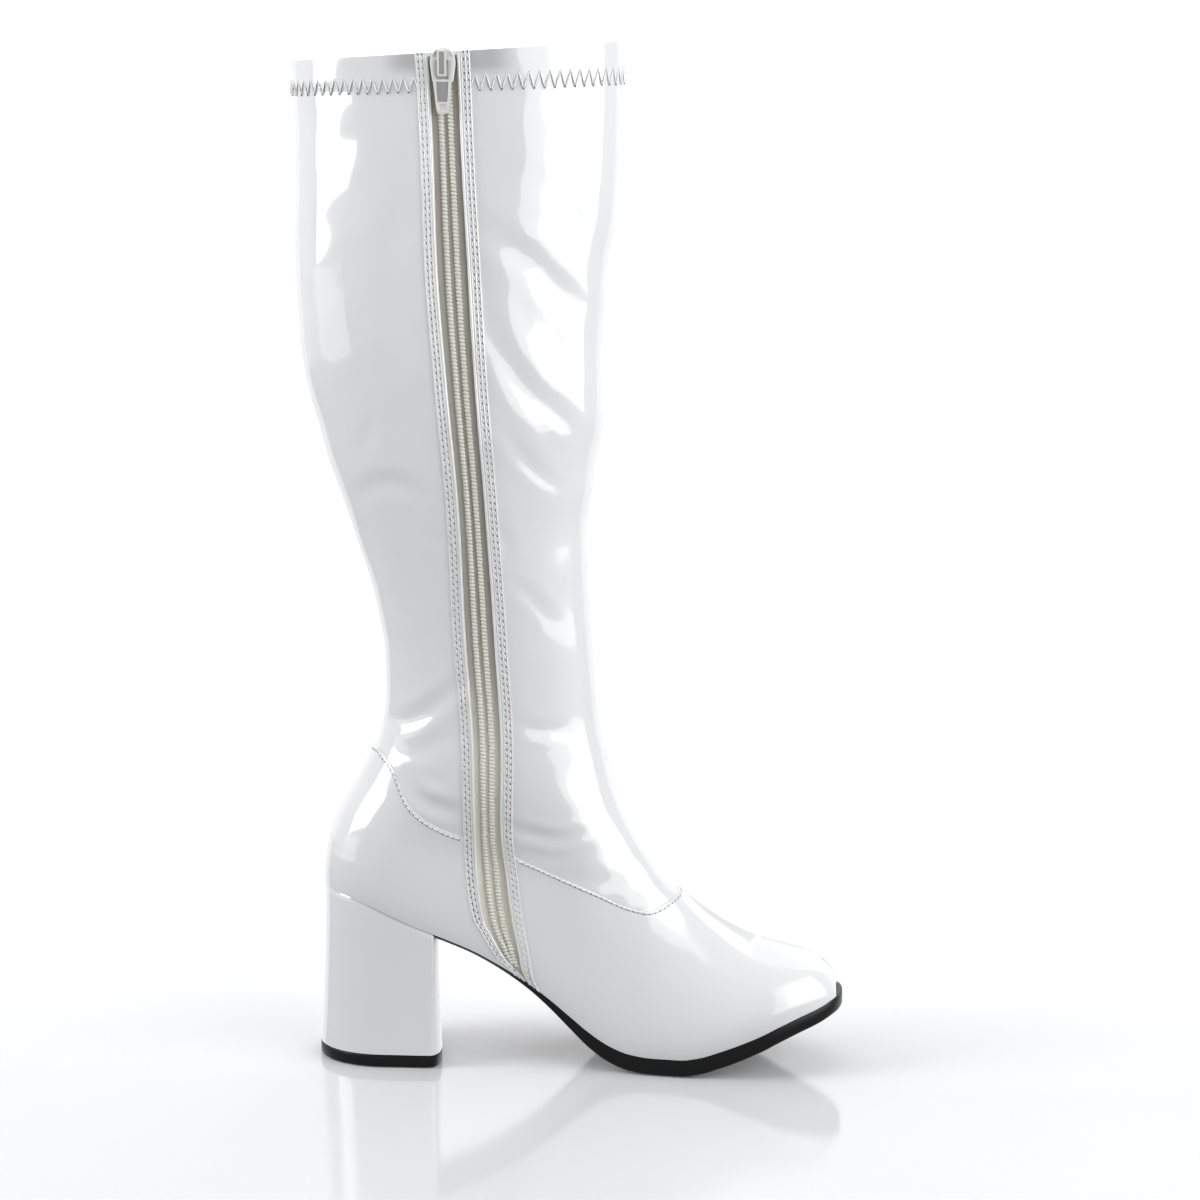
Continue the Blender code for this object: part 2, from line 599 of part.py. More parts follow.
def surface_point(ring, x):
    """Point of the upper's inner side surface on a ring at x."""
    z = ring_height(ring, x)
    width = float(upper_half_width(np.array([x]), np.array([z]), ring, -1)[0])
    return np.array([x, -width, z])


TAPE_RINGS = list(range(SLOT_FIRST_RING, len(RING_ROWS)))


def tape_depth(ring):
    """Outer face of the tape below the upper's outer surface."""
    share = 0.5 * (RING_ROWS[ring][1] + RING_ROWS[ring][3])
    wall = SHAFT_WALL + (FOOT_WALL - SHAFT_WALL) * (1.0 - float(ease((share - 0.22) / 0.10)))
    return -(wall + GAP)


def make_zip_tape():
    """Woven tape behind the zip gap, on the inner face of the upper."""
    across = 6
    rings = []
    for ring in TAPE_RINGS:
        rear, front = zip_edges(ring)
        half = 0.5 * (front - rear) + TAPE_OVERLAP
        top = []
        low = []
        for k in range(across + 1):
            extra = -half + 2 * half * k / across
            depth = tape_depth(ring)
            top.append(zip_line(extra, depth, [ring])[0])
            low.append(zip_line(extra, depth - TAPE_THICKNESS, [ring])[0])
        if ring == TAPE_RINGS[-1]:
            drop = np.array([0.0, 0.0, -TAPE_DROP])
            top = [p + drop for p in top]
            low = [p + drop for p in low]
        rings.append(top + list(reversed(low)))
    return link("zip_tape", ring_stack(rings), (0.47, 0.46, 0.40), 0.80, 0.0)


def slider_centre():
    """Middle of the slider on the zip line, and the tape's outer face there."""
    last = len(RING_ROWS) - 1
    point = zip_line(0.0, tape_depth(last), [last])[0]
    before = zip_line(0.0, tape_depth(last - 3), [last - 3])[0]
    way = (point - before) / np.linalg.norm(point - before)
    return point - way * SLIDER_DROP, way


def make_coil(name, side):
    """One side of the closed coil, a ribbed cord on the tape."""
    centre, way = slider_centre()
    stop = centre[2] - 0.5 * SLIDER_LENGTH - GAP
    rings = []
    for ring in TAPE_RINGS[1:]:
        share = float(smooth_curve(ZIP_ROWS, 2, ring_height(ring, HEEL_BACK + 0.33 * FOOT_LENGTH) / BOOT_HEIGHT))
        extra = side * 0.5 * COIL_PITCH * min(1.0, share)
        base = tape_depth(ring) + GAP
        middle = zip_line(extra, base + 0.5 * COIL_HEIGHT, [ring])[0]
        if middle[2] > stop:
            lower = rings[-1]
            break
        toward = zip_line(extra, base + COIL_HEIGHT, [ring])[0] - middle
        toward = toward / np.linalg.norm(toward)
        right = np.array([1.0, 0.0, 0.0])
        right = right - toward * float(np.dot(right, toward))
        right = right / np.linalg.norm(right)
        loop = []
        for k in range(10):
            angle = 2 * math.pi * k / 10
            loop.append(middle + right * (0.5 * COIL_WIDTH * math.cos(angle)) + toward * (0.5 * COIL_HEIGHT * math.sin(angle)))
        rings.append(loop)
    shift = (stop - np.mean([p[2] for p in rings[-1]])) * way / way[2]
    if shift[2] > 0.001:
        rings.append([p + shift for p in rings[-1]])
    return link(name, ring_stack(rings), (0.60, 0.59, 0.53), 0.50, 0.0)


def plate(outline, low, high):
    """Flat plate: outline of (x, z) pairs, between two distances outward."""
    bm = bmesh.new()
    back = [bm.verts.new((x, -low, z)) for x, z in outline]
    front = [bm.verts.new((x, -high, z)) for x, z in outline]
    count = len(outline)
    bm.faces.new(back)
    bm.faces.new(list(reversed(front)))
    for k in range(count):
        n = (k + 1) % count
        bm.faces.new((back[k], front[k], front[n], back[n]))
    bmesh.ops.recalc_face_normals(bm, faces=bm.faces)
    return bm


PULL_RISE = GAP + SLIDER_THICKNESS + GAP + 0.5 * PULL_THICKNESS + HINGE_PLAY
BRIDGE_REACH = PULL_RISE + 0.5 * PULL_THICKNESS + HINGE_PLAY


def make_slider():
    """Slider body over the closed coils with its bridge bar."""
    centre, way = slider_centre()
    half = 0.5 * SLIDER_WIDTH
    top = 0.5 * SLIDER_LENGTH
    outline = [(-0.46 * half, top), (-0.85 * half, 0.62 * top), (-half, 0.25 * top), (-0.92 * half, -0.15 * top),
               (-0.80 * half, -0.95 * top), (-0.70 * half, -top), (0.70 * half, -top), (0.80 * half, -0.95 * top),
               (0.92 * half, -0.15 * top), (half, 0.25 * top), (0.85 * half, 0.62 * top), (0.46 * half, top)]
    bm = plate(outline, GAP, GAP + SLIDER_THICKNESS)
    mesh = bpy.data.meshes.new("zip_slider")
    bm.to_mesh(mesh)
    bm.free()
    body = bpy.data.objects.new("zip_slider", mesh)
    bpy.context.scene.collection.objects.link(body)
    bar = bmesh.new()
    w = 0.5 * BRIDGE_WIDTH
    deep = GAP + 0.5 * SLIDER_THICKNESS
    outside = BRIDGE_REACH + BRIDGE_BAR
    high = 0.92 * top
    low = -0.62 * top
    profile = [(high, deep), (high, outside - BRIDGE_CORNER), (high - BRIDGE_CORNER, outside),
               (low + BRIDGE_CORNER, outside), (low, outside - BRIDGE_CORNER), (low, deep), (low + BRIDGE_BAR, deep), (low + BRIDGE_BAR, BRIDGE_REACH),
               (high - BRIDGE_BAR, BRIDGE_REACH), (high - BRIDGE_BAR, deep)]
    left = [bar.verts.new((-w, -y, z)) for z, y in profile]
    right = [bar.verts.new((w, -y, z)) for z, y in profile]
    count = len(profile)
    bar.faces.new(left)
    bar.faces.new(list(reversed(right)))
    for k in range(count):
        n = (k + 1) % count
        bar.faces.new((left[k], right[k], right[n], left[n]))
    bmesh.ops.recalc_face_normals(bar, faces=bar.faces)
    bar_mesh = bpy.data.meshes.new("bridge")
    bar.to_mesh(bar_mesh)
    bar.free()
    bridge = bpy.data.objects.new("bridge", bar_mesh)
    bpy.context.scene.collection.objects.link(bridge)
    join = body.modifiers.new("bridge", "BOOLEAN")
    join.operation = "UNION"
    join.solver = "EXACT"
    join.object = bridge
    graph = bpy.context.evaluated_depsgraph_get()
    joined = bpy.data.meshes.new_from_object(body.evaluated_get(graph))
    bm = bmesh.new()
    bm.from_mesh(joined)
    for vert in bm.verts:
        vert.co = Vector(centre) + vert.co
    bpy.data.objects.remove(bridge)
    bpy.data.objects.remove(body)
    obj = link("zip_slider", bm, (0.70, 0.70, 0.66), 0.35, 0.0)
    for polygon in obj.data.polygons:
        polygon.use_smooth = False
    return centre


def make_pull(centre):
    """Tapered pull tab hanging from the bridge; its origin is the hinge axis."""
    half = 0.5 * PULL_WIDTH
    tip = 0.5 * PULL_TIP_WIDTH
    window_half = 0.5 * BRIDGE_WIDTH + PULL_PLAY
    window_low = -(0.62 * 0.5 * SLIDER_LENGTH + HINGE_UP + BRIDGE_BAR)
    long = PULL_LENGTH
    t = 0.5 * PULL_THICKNESS
    bm = bmesh.new()

    def width_at(z):
        return half + (tip - half) * min(max(-z / long, 0.0), 1.0)

    levels = [PULL_BAR, -PULL_BAR, window_low, -0.52 * long, -0.90 * long, -long]
    names = []
    for z in levels:
        w = width_at(z)
        if z in (levels[0], levels[-1]):
            w -= PULL_CORNER
        inner = min(window_half, w - 0.0008)
        names.append([[bm.verts.new((x, y, z)) for x in (-w, -inner, inner, w)] for y in (-t, t)])
    for a, b in zip(names, names[1:]):
        window = a is names[1]
        for k in range(3):
            if window and k == 1:
                continue
            bm.faces.new((a[0][k], a[0][k + 1], b[0][k + 1], b[0][k]))
            bm.faces.new((a[1][k], b[1][k], b[1][k + 1], a[1][k + 1]))
        bm.faces.new((a[0][0], b[0][0], b[1][0], a[1][0]))
        bm.faces.new((a[0][3], a[1][3], b[1][3], b[0][3]))
        if window:
            bm.faces.new((a[0][1], a[1][1], b[1][1], b[0][1]))
            bm.faces.new((a[0][2], b[0][2], b[1][2], a[1][2]))
            bm.faces.new((a[0][1], a[0][2], a[1][2], a[1][1]))
            bm.faces.new((b[0][1], b[1][1], b[1][2], b[0][2]))
    for k in range(3):
        bm.faces.new((names[0][0][k], names[0][1][k], names[0][1][k + 1], names[0][0][k + 1]))
        bm.faces.new((names[-1][0][k], names[-1][0][k + 1], names[-1][1][k + 1], names[-1][1][k]))
    obj = link("zip_pull", bm, (0.70, 0.70, 0.66), 0.35, 0.0)
    for polygon in obj.data.polygons:
        polygon.use_smooth = False
    obj.location = (centre[0], centre[1] - PULL_RISE, centre[2] + HINGE_UP)
    print("pull hinge at", tuple(round(v, 5) for v in obj.location))
    return obj


for old in list(bpy.data.objects):
    bpy.data.objects.remove(old)

make_upper()
make_outsole()
make_heel()
make_heel_lift()
make_insole()
make_zip_tape()
make_coil("zip_coil_rear", -1)
make_coil("zip_coil_front", 1)
make_pull(make_slider())
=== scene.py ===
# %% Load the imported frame
import math

import bpy
import numpy as np
from mathutils import Euler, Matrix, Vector


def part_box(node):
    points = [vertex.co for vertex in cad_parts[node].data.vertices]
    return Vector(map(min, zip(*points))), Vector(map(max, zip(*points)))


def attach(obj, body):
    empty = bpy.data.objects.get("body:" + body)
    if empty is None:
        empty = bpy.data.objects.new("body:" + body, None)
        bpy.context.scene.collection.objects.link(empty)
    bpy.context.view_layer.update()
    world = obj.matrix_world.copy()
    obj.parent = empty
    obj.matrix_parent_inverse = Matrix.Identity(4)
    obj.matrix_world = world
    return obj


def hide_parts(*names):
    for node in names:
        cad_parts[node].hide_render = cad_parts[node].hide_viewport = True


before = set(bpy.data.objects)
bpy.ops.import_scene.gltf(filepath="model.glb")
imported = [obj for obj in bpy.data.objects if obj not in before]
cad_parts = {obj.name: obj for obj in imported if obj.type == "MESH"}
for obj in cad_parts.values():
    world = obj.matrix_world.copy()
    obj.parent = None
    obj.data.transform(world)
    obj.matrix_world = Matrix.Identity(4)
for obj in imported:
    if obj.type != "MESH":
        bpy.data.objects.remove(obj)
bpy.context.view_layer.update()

bpy.context.scene.view_settings.view_transform = "Standard"
print("nodes in the frame:", sorted(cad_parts))

# %% [markdown]
# ## Camera
# The photograph looks at the inner side of a left boot from about collar height. A long lens
# keeps the shaft straight. Its place follows from two facts: the rim of the collar is seen
# almost edge on, and the front corner of the heel sits a little lower in the picture than its
# back corner. A shorter lens from close by would spread the sole and the collar too much.

# %% Camera
CAMERA_PLACE = (0.2036, -1.4602, 0.478)
CAMERA_TARGET = (0.1014, 0.0012, 0.216)
FOCAL_PIXELS = 3247.0
PICTURE_PIXELS = 1200.0

SENSOR_WIDTH = 36.0

camera_data = bpy.data.cameras.new("camera")
camera_data.sensor_width = SENSOR_WIDTH
camera_data.lens = SENSOR_WIDTH * FOCAL_PIXELS / PICTURE_PIXELS
camera = bpy.data.objects.new("camera", camera_data)
bpy.context.scene.collection.objects.link(camera)
camera.location = CAMERA_PLACE
aim = Vector(CAMERA_TARGET) - Vector(CAMERA_PLACE)
camera.rotation_euler = aim.to_track_quat("-Z", "Y").to_euler()
bpy.context.scene.camera = camera
print("lens", round(camera_data.lens, 1), "mm")

# %% [markdown]
# ## Sizes of the boot
# Everything below hangs on these sizes in metres. Nearly the same numbers shape the solids
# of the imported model, so each dressed piece lies where its solid is; the vamp's edge and the
# front of the heel are drawn a little closer to the photograph. The tables hold shares:
# SOLE has share along the foot, share of the seat's height, share of the sole's thickness,
# and the half widths of the inner and outer side as shares of the ball's width. RINGS has a
# ring's back place and height, its front place and height, and what it keeps of the arch.

# %% Sizes and tables
BOOT_HEIGHT = 0.4685
FOOT_LENGTH = 0.2390
BALL_WIDTH = 0.0800
SEAT_HEIGHT = 0.0815
SHAFT_WIDTH = 0.0860
SOLE_THICKNESS = 0.0080
HEEL_BACK = -0.0269
HEEL_BREAST = 0.0258
HEEL_WIDTH = 0.0560
LIFT_THICKNESS = 0.0055
ZIP_GAP = 0.0128
FACING_WIDTH = 0.0057
WALL = 0.0017
GAP = 0.0003

SOLE = np.array((
    (-0.020, 1.0002, 0.28, 0.330, 0.330),
    (0.040, 0.9891, 0.28, 0.330, 0.330),
    (0.095, 0.9392, 0.28, 0.332, 0.332),
    (0.145, 0.8649, 0.28, 0.334, 0.336),
    (0.195, 0.7917, 0.28, 0.330, 0.340),
    (0.255, 0.7141, 0.28, 0.322, 0.342),
    (0.295, 0.6564, 0.29, 0.312, 0.346),
    (0.332, 0.5910, 0.32, 0.303, 0.352),
    (0.370, 0.5167, 0.37, 0.299, 0.360),
    (0.410, 0.4313, 0.46, 0.298, 0.376),
    (0.448, 0.3382, 0.60, 0.302, 0.402),
    (0.487, 0.2340, 0.78, 0.311, 0.434),
    (0.526, 0.1320, 0.94, 0.324, 0.468),
    (0.565, 0.0554, 1.00, 0.342, 0.500),
    (0.604, 0.0122, 1.00, 0.362, 0.525),
    (0.643, 0.0000, 1.00, 0.386, 0.542),
    (0.700, 0.0000, 1.00, 0.410, 0.548),
    (0.741, 0.0233, 1.00, 0.421, 0.543),
    (0.777, 0.0632, 1.00, 0.423, 0.532),
    (0.810, 0.1020, 0.99, 0.416, 0.514),
    (0.854, 0.1608, 0.96, 0.400, 0.490),
    (0.892, 0.2196, 0.94, 0.380, 0.462),
    (0.930, 0.2683, 0.92, 0.356, 0.430),
    (0.968, 0.3083, 0.91, 0.336, 0.398),
    (1.000, 0.3471, 0.91, 0.325, 0.375),
    (1.040, 0.3792, 0.91, 0.320, 0.370),
))
HEEL_ROUND, TOE_ROUND, TOE_TIP, TOE_POWER = 0.128, 0.150, 1.006, 2.3

RINGS = np.array((
    (0.0000, 0.1740, 0.9967, 0.0730, 1.00),
    (0.0000, 0.1804, 0.9954, 0.0811, 0.92),
    (0.0004, 0.1878, 0.9860, 0.0925, 0.84),
    (0.0017, 0.1953, 0.9690, 0.1018, 0.76),
    (0.0038, 0.2028, 0.9418, 0.1101, 0.67),
    (0.0059, 0.2102, 0.9042, 0.1171, 0.53),
    (0.0088, 0.2166, 0.8623, 0.1232, 0.38),
    (0.0117, 0.2241, 0.8184, 0.1306, 0.26),
    (0.0167, 0.2316, 0.7745, 0.1407, 0.15),
    (0.0222, 0.2391, 0.7326, 0.1528, 0.07),
    (0.0280, 0.2465, 0.6937, 0.1686, 0.02),
    (0.0347, 0.2540, 0.6594, 0.1868, 0.00),
    (0.0435, 0.2625, 0.6314, 0.2070, 0.00),
    (0.0544, 0.2721, 0.6084, 0.2273, 0.00),
    (0.0661, 0.2818, 0.5891, 0.2472, 0.00),
    (0.0795, 0.2946, 0.5728, 0.2689, 0.00),
    (0.0937, 0.3095, 0.5590, 0.2914, 0.00),
    (0.1079, 0.3255, 0.5477, 0.3159, 0.00),
    (0.1176, 0.3426, 0.5372, 0.3415, 0.00),
    (0.1222, 0.3629, 0.5326, 0.3650, 0.00),
    (0.1222, 0.3906, 0.5280, 0.3927, 0.00),
    (0.1197, 0.4205, 0.5238, 0.4226, 0.00),
    (0.1096, 0.4482, 0.5192, 0.4504, 0.00),
    (0.0979, 0.4760, 0.5163, 0.4781, 0.00),
    (0.0820, 0.5037, 0.5146, 0.5059, 0.00),
    (0.0611, 0.5368, 0.5138, 0.5390, 0.00),
    (0.0381, 0.5699, 0.5238, 0.5720, 0.00),
    (0.0167, 0.5998, 0.5305, 0.6019, 0.00),
    (0.0004, 0.6318, 0.5444, 0.6339, 0.00),
    (-0.0184, 0.6681, 0.5477, 0.6702, 0.00),
    (-0.0331, 0.7086, 0.5473, 0.7108, 0.00),
    (-0.0402, 0.7513, 0.5523, 0.7545, 0.00),
    (-0.0427, 0.7940, 0.5611, 0.7983, 0.00),
    (-0.0423, 0.8388, 0.5757, 0.8431, 0.00),
    (-0.0393, 0.8837, 0.5812, 0.8901, 0.00),
    (-0.0393, 0.9242, 0.5824, 0.9328, 0.00),
    (-0.0418, 0.9526, 0.5828, 0.9643, 0.00),
    (-0.0435, 0.9814, 0.5841, 1.0000, 0.00),
))
TOP_RING = len(RINGS) - 1.0
HEM_RING = TOP_RING - 1.14
RING_NUMBERS = np.arange(len(RINGS), dtype=float)

TOP_LINE = np.array((
    (0.300, 1.400), (0.430, 0.900), (0.500, 0.560), (0.5372, 0.350),
    (0.5570, 0.2914), (0.5763, 0.2610), (0.5958, 0.2399), (0.6155, 0.2207),
    (0.6351, 0.2066), (0.6548, 0.1915), (0.6933, 0.1700), (0.7326, 0.1545),
    (0.7716, 0.1415), (0.8104, 0.1322), (0.8494, 0.1252), (0.8883, 0.1196),
    (0.9275, 0.1132), (0.9471, 0.1088), (0.9669, 0.1026), (0.9860, 0.0925),
    (0.9940, 0.0840), (0.9990, 0.0735), (1.0100, 0.0500),
))
SHAFT = np.array((
    (0.20, 0.400), (0.27, 0.385), (0.32, 0.368), (0.37, 0.362), (0.43, 0.370),
    (0.50, 0.398), (0.57, 0.440), (0.64, 0.478), (0.74, 0.506), (0.85, 0.512),
    (0.95, 0.502), (1.02, 0.500),
))
ZIP_LINE = np.array((
    (0.060, 0.4200, 0.05), (0.090, 0.4010, 0.10), (0.103, 0.3810, 0.50), (0.130, 0.3600, 0.95),
    (0.141, 0.3520, 1.10), (0.192, 0.3370, 1.05), (0.245, 0.3310, 0.88), (0.312, 0.3320, 0.95),
    (0.438, 0.3190, 1.00), (0.563, 0.3080, 0.90), (0.686, 0.2910, 0.95), (0.785, 0.2795, 1.03),
    (0.903, 0.2705, 0.95), (0.983, 0.2640, 0.98), (1.020, 0.2610, 1.00),
))
COUNTER_EDGE = np.array((
    (0.1150, 0.3160), (0.1470, 0.3010), (0.1790, 0.2670), (0.2270, 0.2470),
    (0.2900, 0.2340), (0.3600, 0.2250),
))
VAMP_EDGE = np.array((
    (0.3500, 0.2262), (0.3780, 0.2160), (0.4220, 0.2055), (0.5190, 0.1832), (0.5990, 0.1640),
    (0.6330, 0.1600), (0.6830, 0.1690), (0.7200, 0.1790),
))
print("boot", BOOT_HEIGHT, "m tall, foot", FOOT_LENGTH, "m long")

# %% [markdown]
# ## The shape of the boot as a function
# A boot maker's last is known by its sections: a back line, a front line, and a width between
# them. Each ring here runs from the back line to the front line and climbs from the feather
# line, where sole and upper meet, to the collar. One function gives any point of the upper,
# so the panels, seams and zip all lie on the same skin. Sculpting would lose that fit.

# %% Functions of the last
def cubic(table_x, table_y, tangent, at):
    """Cubic through a table whose slopes are known."""
    step = np.diff(table_x)
    k = np.clip(np.searchsorted(table_x, at) - 1, 0, len(table_x) - 2)
    t = (at - table_x[k]) / step[k]
    return ((2 * t ** 3 - 3 * t ** 2 + 1) * table_y[k] + (t ** 3 - 2 * t ** 2 + t) * step[k] * tangent[k]
            + (3 * t ** 2 - 2 * t ** 3) * table_y[k + 1] + (t ** 3 - t ** 2) * step[k] * tangent[k + 1])


def smooth(table_x, table_y, at):
    """Monotone cubic through a short table."""
    at = np.clip(np.asarray(at, float), table_x[0], table_x[-1])
    step = np.diff(table_x)
    slope = np.diff(table_y) / step
    tangent = np.zeros(len(table_x))
    first = 2 * step[1:] + step[:-1]
    second = step[1:] + 2 * step[:-1]
    safe = np.where(slope[:-1] * slope[1:] > 0, 1.0, np.nan)
    with np.errstate(all="ignore"):
        mean = (first + second) / (first / slope[:-1] + second / slope[1:])
        tangent[1:-1] = np.nan_to_num(safe * mean)
    tangent[0], tangent[-1] = slope[0], slope[-1]
    return cubic(table_x, table_y, tangent, at)


def spline(table_x, table_y, at):
    """Cubic through a table, softer than the monotone one."""
    at = np.clip(np.asarray(at, float), table_x[0], table_x[-1])
    return cubic(table_x, table_y, np.gradient(table_y, table_x), at)


def closing(distance, length, power):
    """Rises from 0 to 1 as the end of an oval does."""
    share = np.clip(distance / length, 0.0, 1.0)
    return (1.0 - (1.0 - share) ** power) ** (1.0 / power)


def ease(value):
    """Soft step from 0 to 1."""
    share = np.clip(value, 0.0, 1.0)
    return share * share * (3 - 2 * share)


def share_along(x):
    return (np.asarray(x, float) - HEEL_BACK) / FOOT_LENGTH


def seat_z(x):
    """Height of the seat line, where the upper meets sole and heel."""
    rise = smooth(SOLE[:, 0], SOLE[:, 1], share_along(x))
    return SOLE_THICKNESS + (SEAT_HEIGHT - SOLE_THICKNESS) * rise


def sole_thickness(x):
    return SOLE_THICKNESS * smooth(SOLE[:, 0], SOLE[:, 2], share_along(x))


def feather_width(x, side, back=None, tip=TOE_TIP):
    """Half width at the feather line; side -1 is the inner side."""
    share = share_along(x)
    start = 0.0 if back is None else share_along(back)
    inner = BALL_WIDTH * smooth(SOLE[:, 0], SOLE[:, 3], share)
    outer = BALL_WIDTH * smooth(SOLE[:, 0], SOLE[:, 4], share)
    plain = np.where(side < 0, inner, outer)
    return plain * closing(share - start, HEEL_ROUND, 2.0) * closing(tip - share, TOE_ROUND, TOE_POWER)


def ring_value(column, ring):
    return spline(RING_NUMBERS, RINGS[:, column], ring)


def ring_ends(ring):
    back = HEEL_BACK + ring_value(0, ring) * FOOT_LENGTH
    front = HEEL_BACK + ring_value(2, ring) * FOOT_LENGTH
    return back, front


def ring_z(ring, x):
    """Height of a ring at x: its chord, plus what it keeps of the arch."""
    back, front = ring_ends(ring)
    run = (x - back) / (front - back)
    chord = BOOT_HEIGHT * (ring_value(1, ring) * (1 - run) + ring_value(3, ring) * run)
    base_back = HEEL_BACK + RINGS[0, 0] * FOOT_LENGTH
    base_front = HEEL_BACK + RINGS[0, 2] * FOOT_LENGTH
    low_back, low_front = seat_z(np.array([base_back, base_front]))
    straight = low_back + (low_front - low_back) * (x - base_back) / (base_front - base_back)
    arch = seat_z(x) - straight
    near = np.clip(ring, 0.0, 1.0)
    lowest = seat_z(x) + GAP
    return near * (chord + ring_value(4, ring) * arch) + (1 - near) * lowest


def half_width(x, z, ring, side):
    """Half width of the upper: domed over the foot, oval round the leg, blended between."""
    back, front = ring_ends(ring)
    low = seat_z(x)
    high = BOOT_HEIGHT * smooth(TOP_LINE[:, 0], TOP_LINE[:, 1], share_along(x))
    level = np.clip((z - low) / np.maximum(high - low, 1e-5), 0.0, 1.0)
    dome = np.sqrt(np.clip(1.0 - level ** 1.9, 0.0, 1.0))
    rise = np.clip((z - low) / 0.015, 0.0, 8.0)
    bulge = 1.0 + 0.05 * rise * np.exp(1.0 - rise)
    foot = feather_width(x, side, back=back) * dome * bulge
    run = np.clip((x - back) / (front - back), 0.0, 1.0)
    oval = 2.0 * np.sqrt(run * (1.0 - run))
    height_share = 0.5 * (ring_value(1, ring) + ring_value(3, ring))
    leg = SHAFT_WIDTH * smooth(SHAFT[:, 0], SHAFT[:, 1], height_share) * oval
    blend = ease((ring_value(3, ring) - 0.150) / 0.165)
    width = (1.0 - blend) * foot + blend * leg
    return np.where((run <= 1e-9) | (run >= 1 - 1e-9), 0.0, width)


def skin(ring, turn):
    """Points of the upper. Turn runs 0 at the back, 1 at the front line by the inner
    side, and on to 2 at the back again by the outer side."""
    ring, turn = np.broadcast_arrays(np.asarray(ring, float), np.asarray(turn, float))
    turn = np.mod(turn, 2.0)
    side = np.where(turn <= 1.0, -1.0, 1.0)
    along = np.where(turn <= 1.0, turn, 2.0 - turn)
    back, front = ring_ends(ring)
    x = back + (front - back) * 0.5 * (1.0 - np.cos(np.pi * along))
    z = ring_z(ring, x)
    return np.stack([x, side * half_width(x, z, ring, side), z], axis=-1)


def unit(vectors):
    """Vectors scaled to length 1."""
    return vectors / np.maximum(np.linalg.norm(vectors, axis=-1, keepdims=True), 1e-12)


def skin_normal(ring, turn):
    """Outward normals of the upper, from small steps both ways."""
    ring, turn = np.broadcast_arrays(np.asarray(ring, float), np.asarray(turn, float))
    up = skin(np.minimum(ring + 0.05, TOP_RING), turn) - skin(np.maximum(ring - 0.05, 0.0), turn)
    side_way = skin(ring, turn + 0.004) - skin(ring, turn - 0.004)
    return unit(np.cross(side_way, up))


def turn_at(ring, x):
    """Turn, on the inner side, of the point of a ring with this x."""
    back, front = ring_ends(ring)
    return np.arccos(1.0 - 2.0 * np.clip((x - back) / (front - back), 0.0, 1.0)) / np.pi


def zip_edges(ring):
    """Rear and front edge of the zip gap on a ring, as x values."""
    ring = np.asarray(ring, float)
    x = np.full(ring.shape, HEEL_BACK + 0.30 * FOOT_LENGTH)
    for _ in range(14):
        share = ring_z(ring, x) / BOOT_HEIGHT
        x = HEEL_BACK + FOOT_LENGTH * smooth(ZIP_LINE[:, 0], ZIP_LINE[:, 1], share)
    half = 0.5 * ZIP_GAP * smooth(ZIP_LINE[:, 0], ZIP_LINE[:, 2], share)
    return x - half, x + half


probe = skin(np.array([0.0, 12.0, 30.0]), np.array([0.5, 1.0, 1.5]))
print("three points of the skin", np.round(probe, 4).tolist())

# %% [markdown]
# ## Folds
# Stretch patent that has been pulled over a form keeps soft troughs: slanting ones on the
# front of the calf, short ones behind the calf, and a fan at the ankle where the foot bends.
# Each fold is a line on the side view, with a depth and a width. The skin is moved in along
# its normal at the line and a little out beside it, so light breaks there as on the real one.

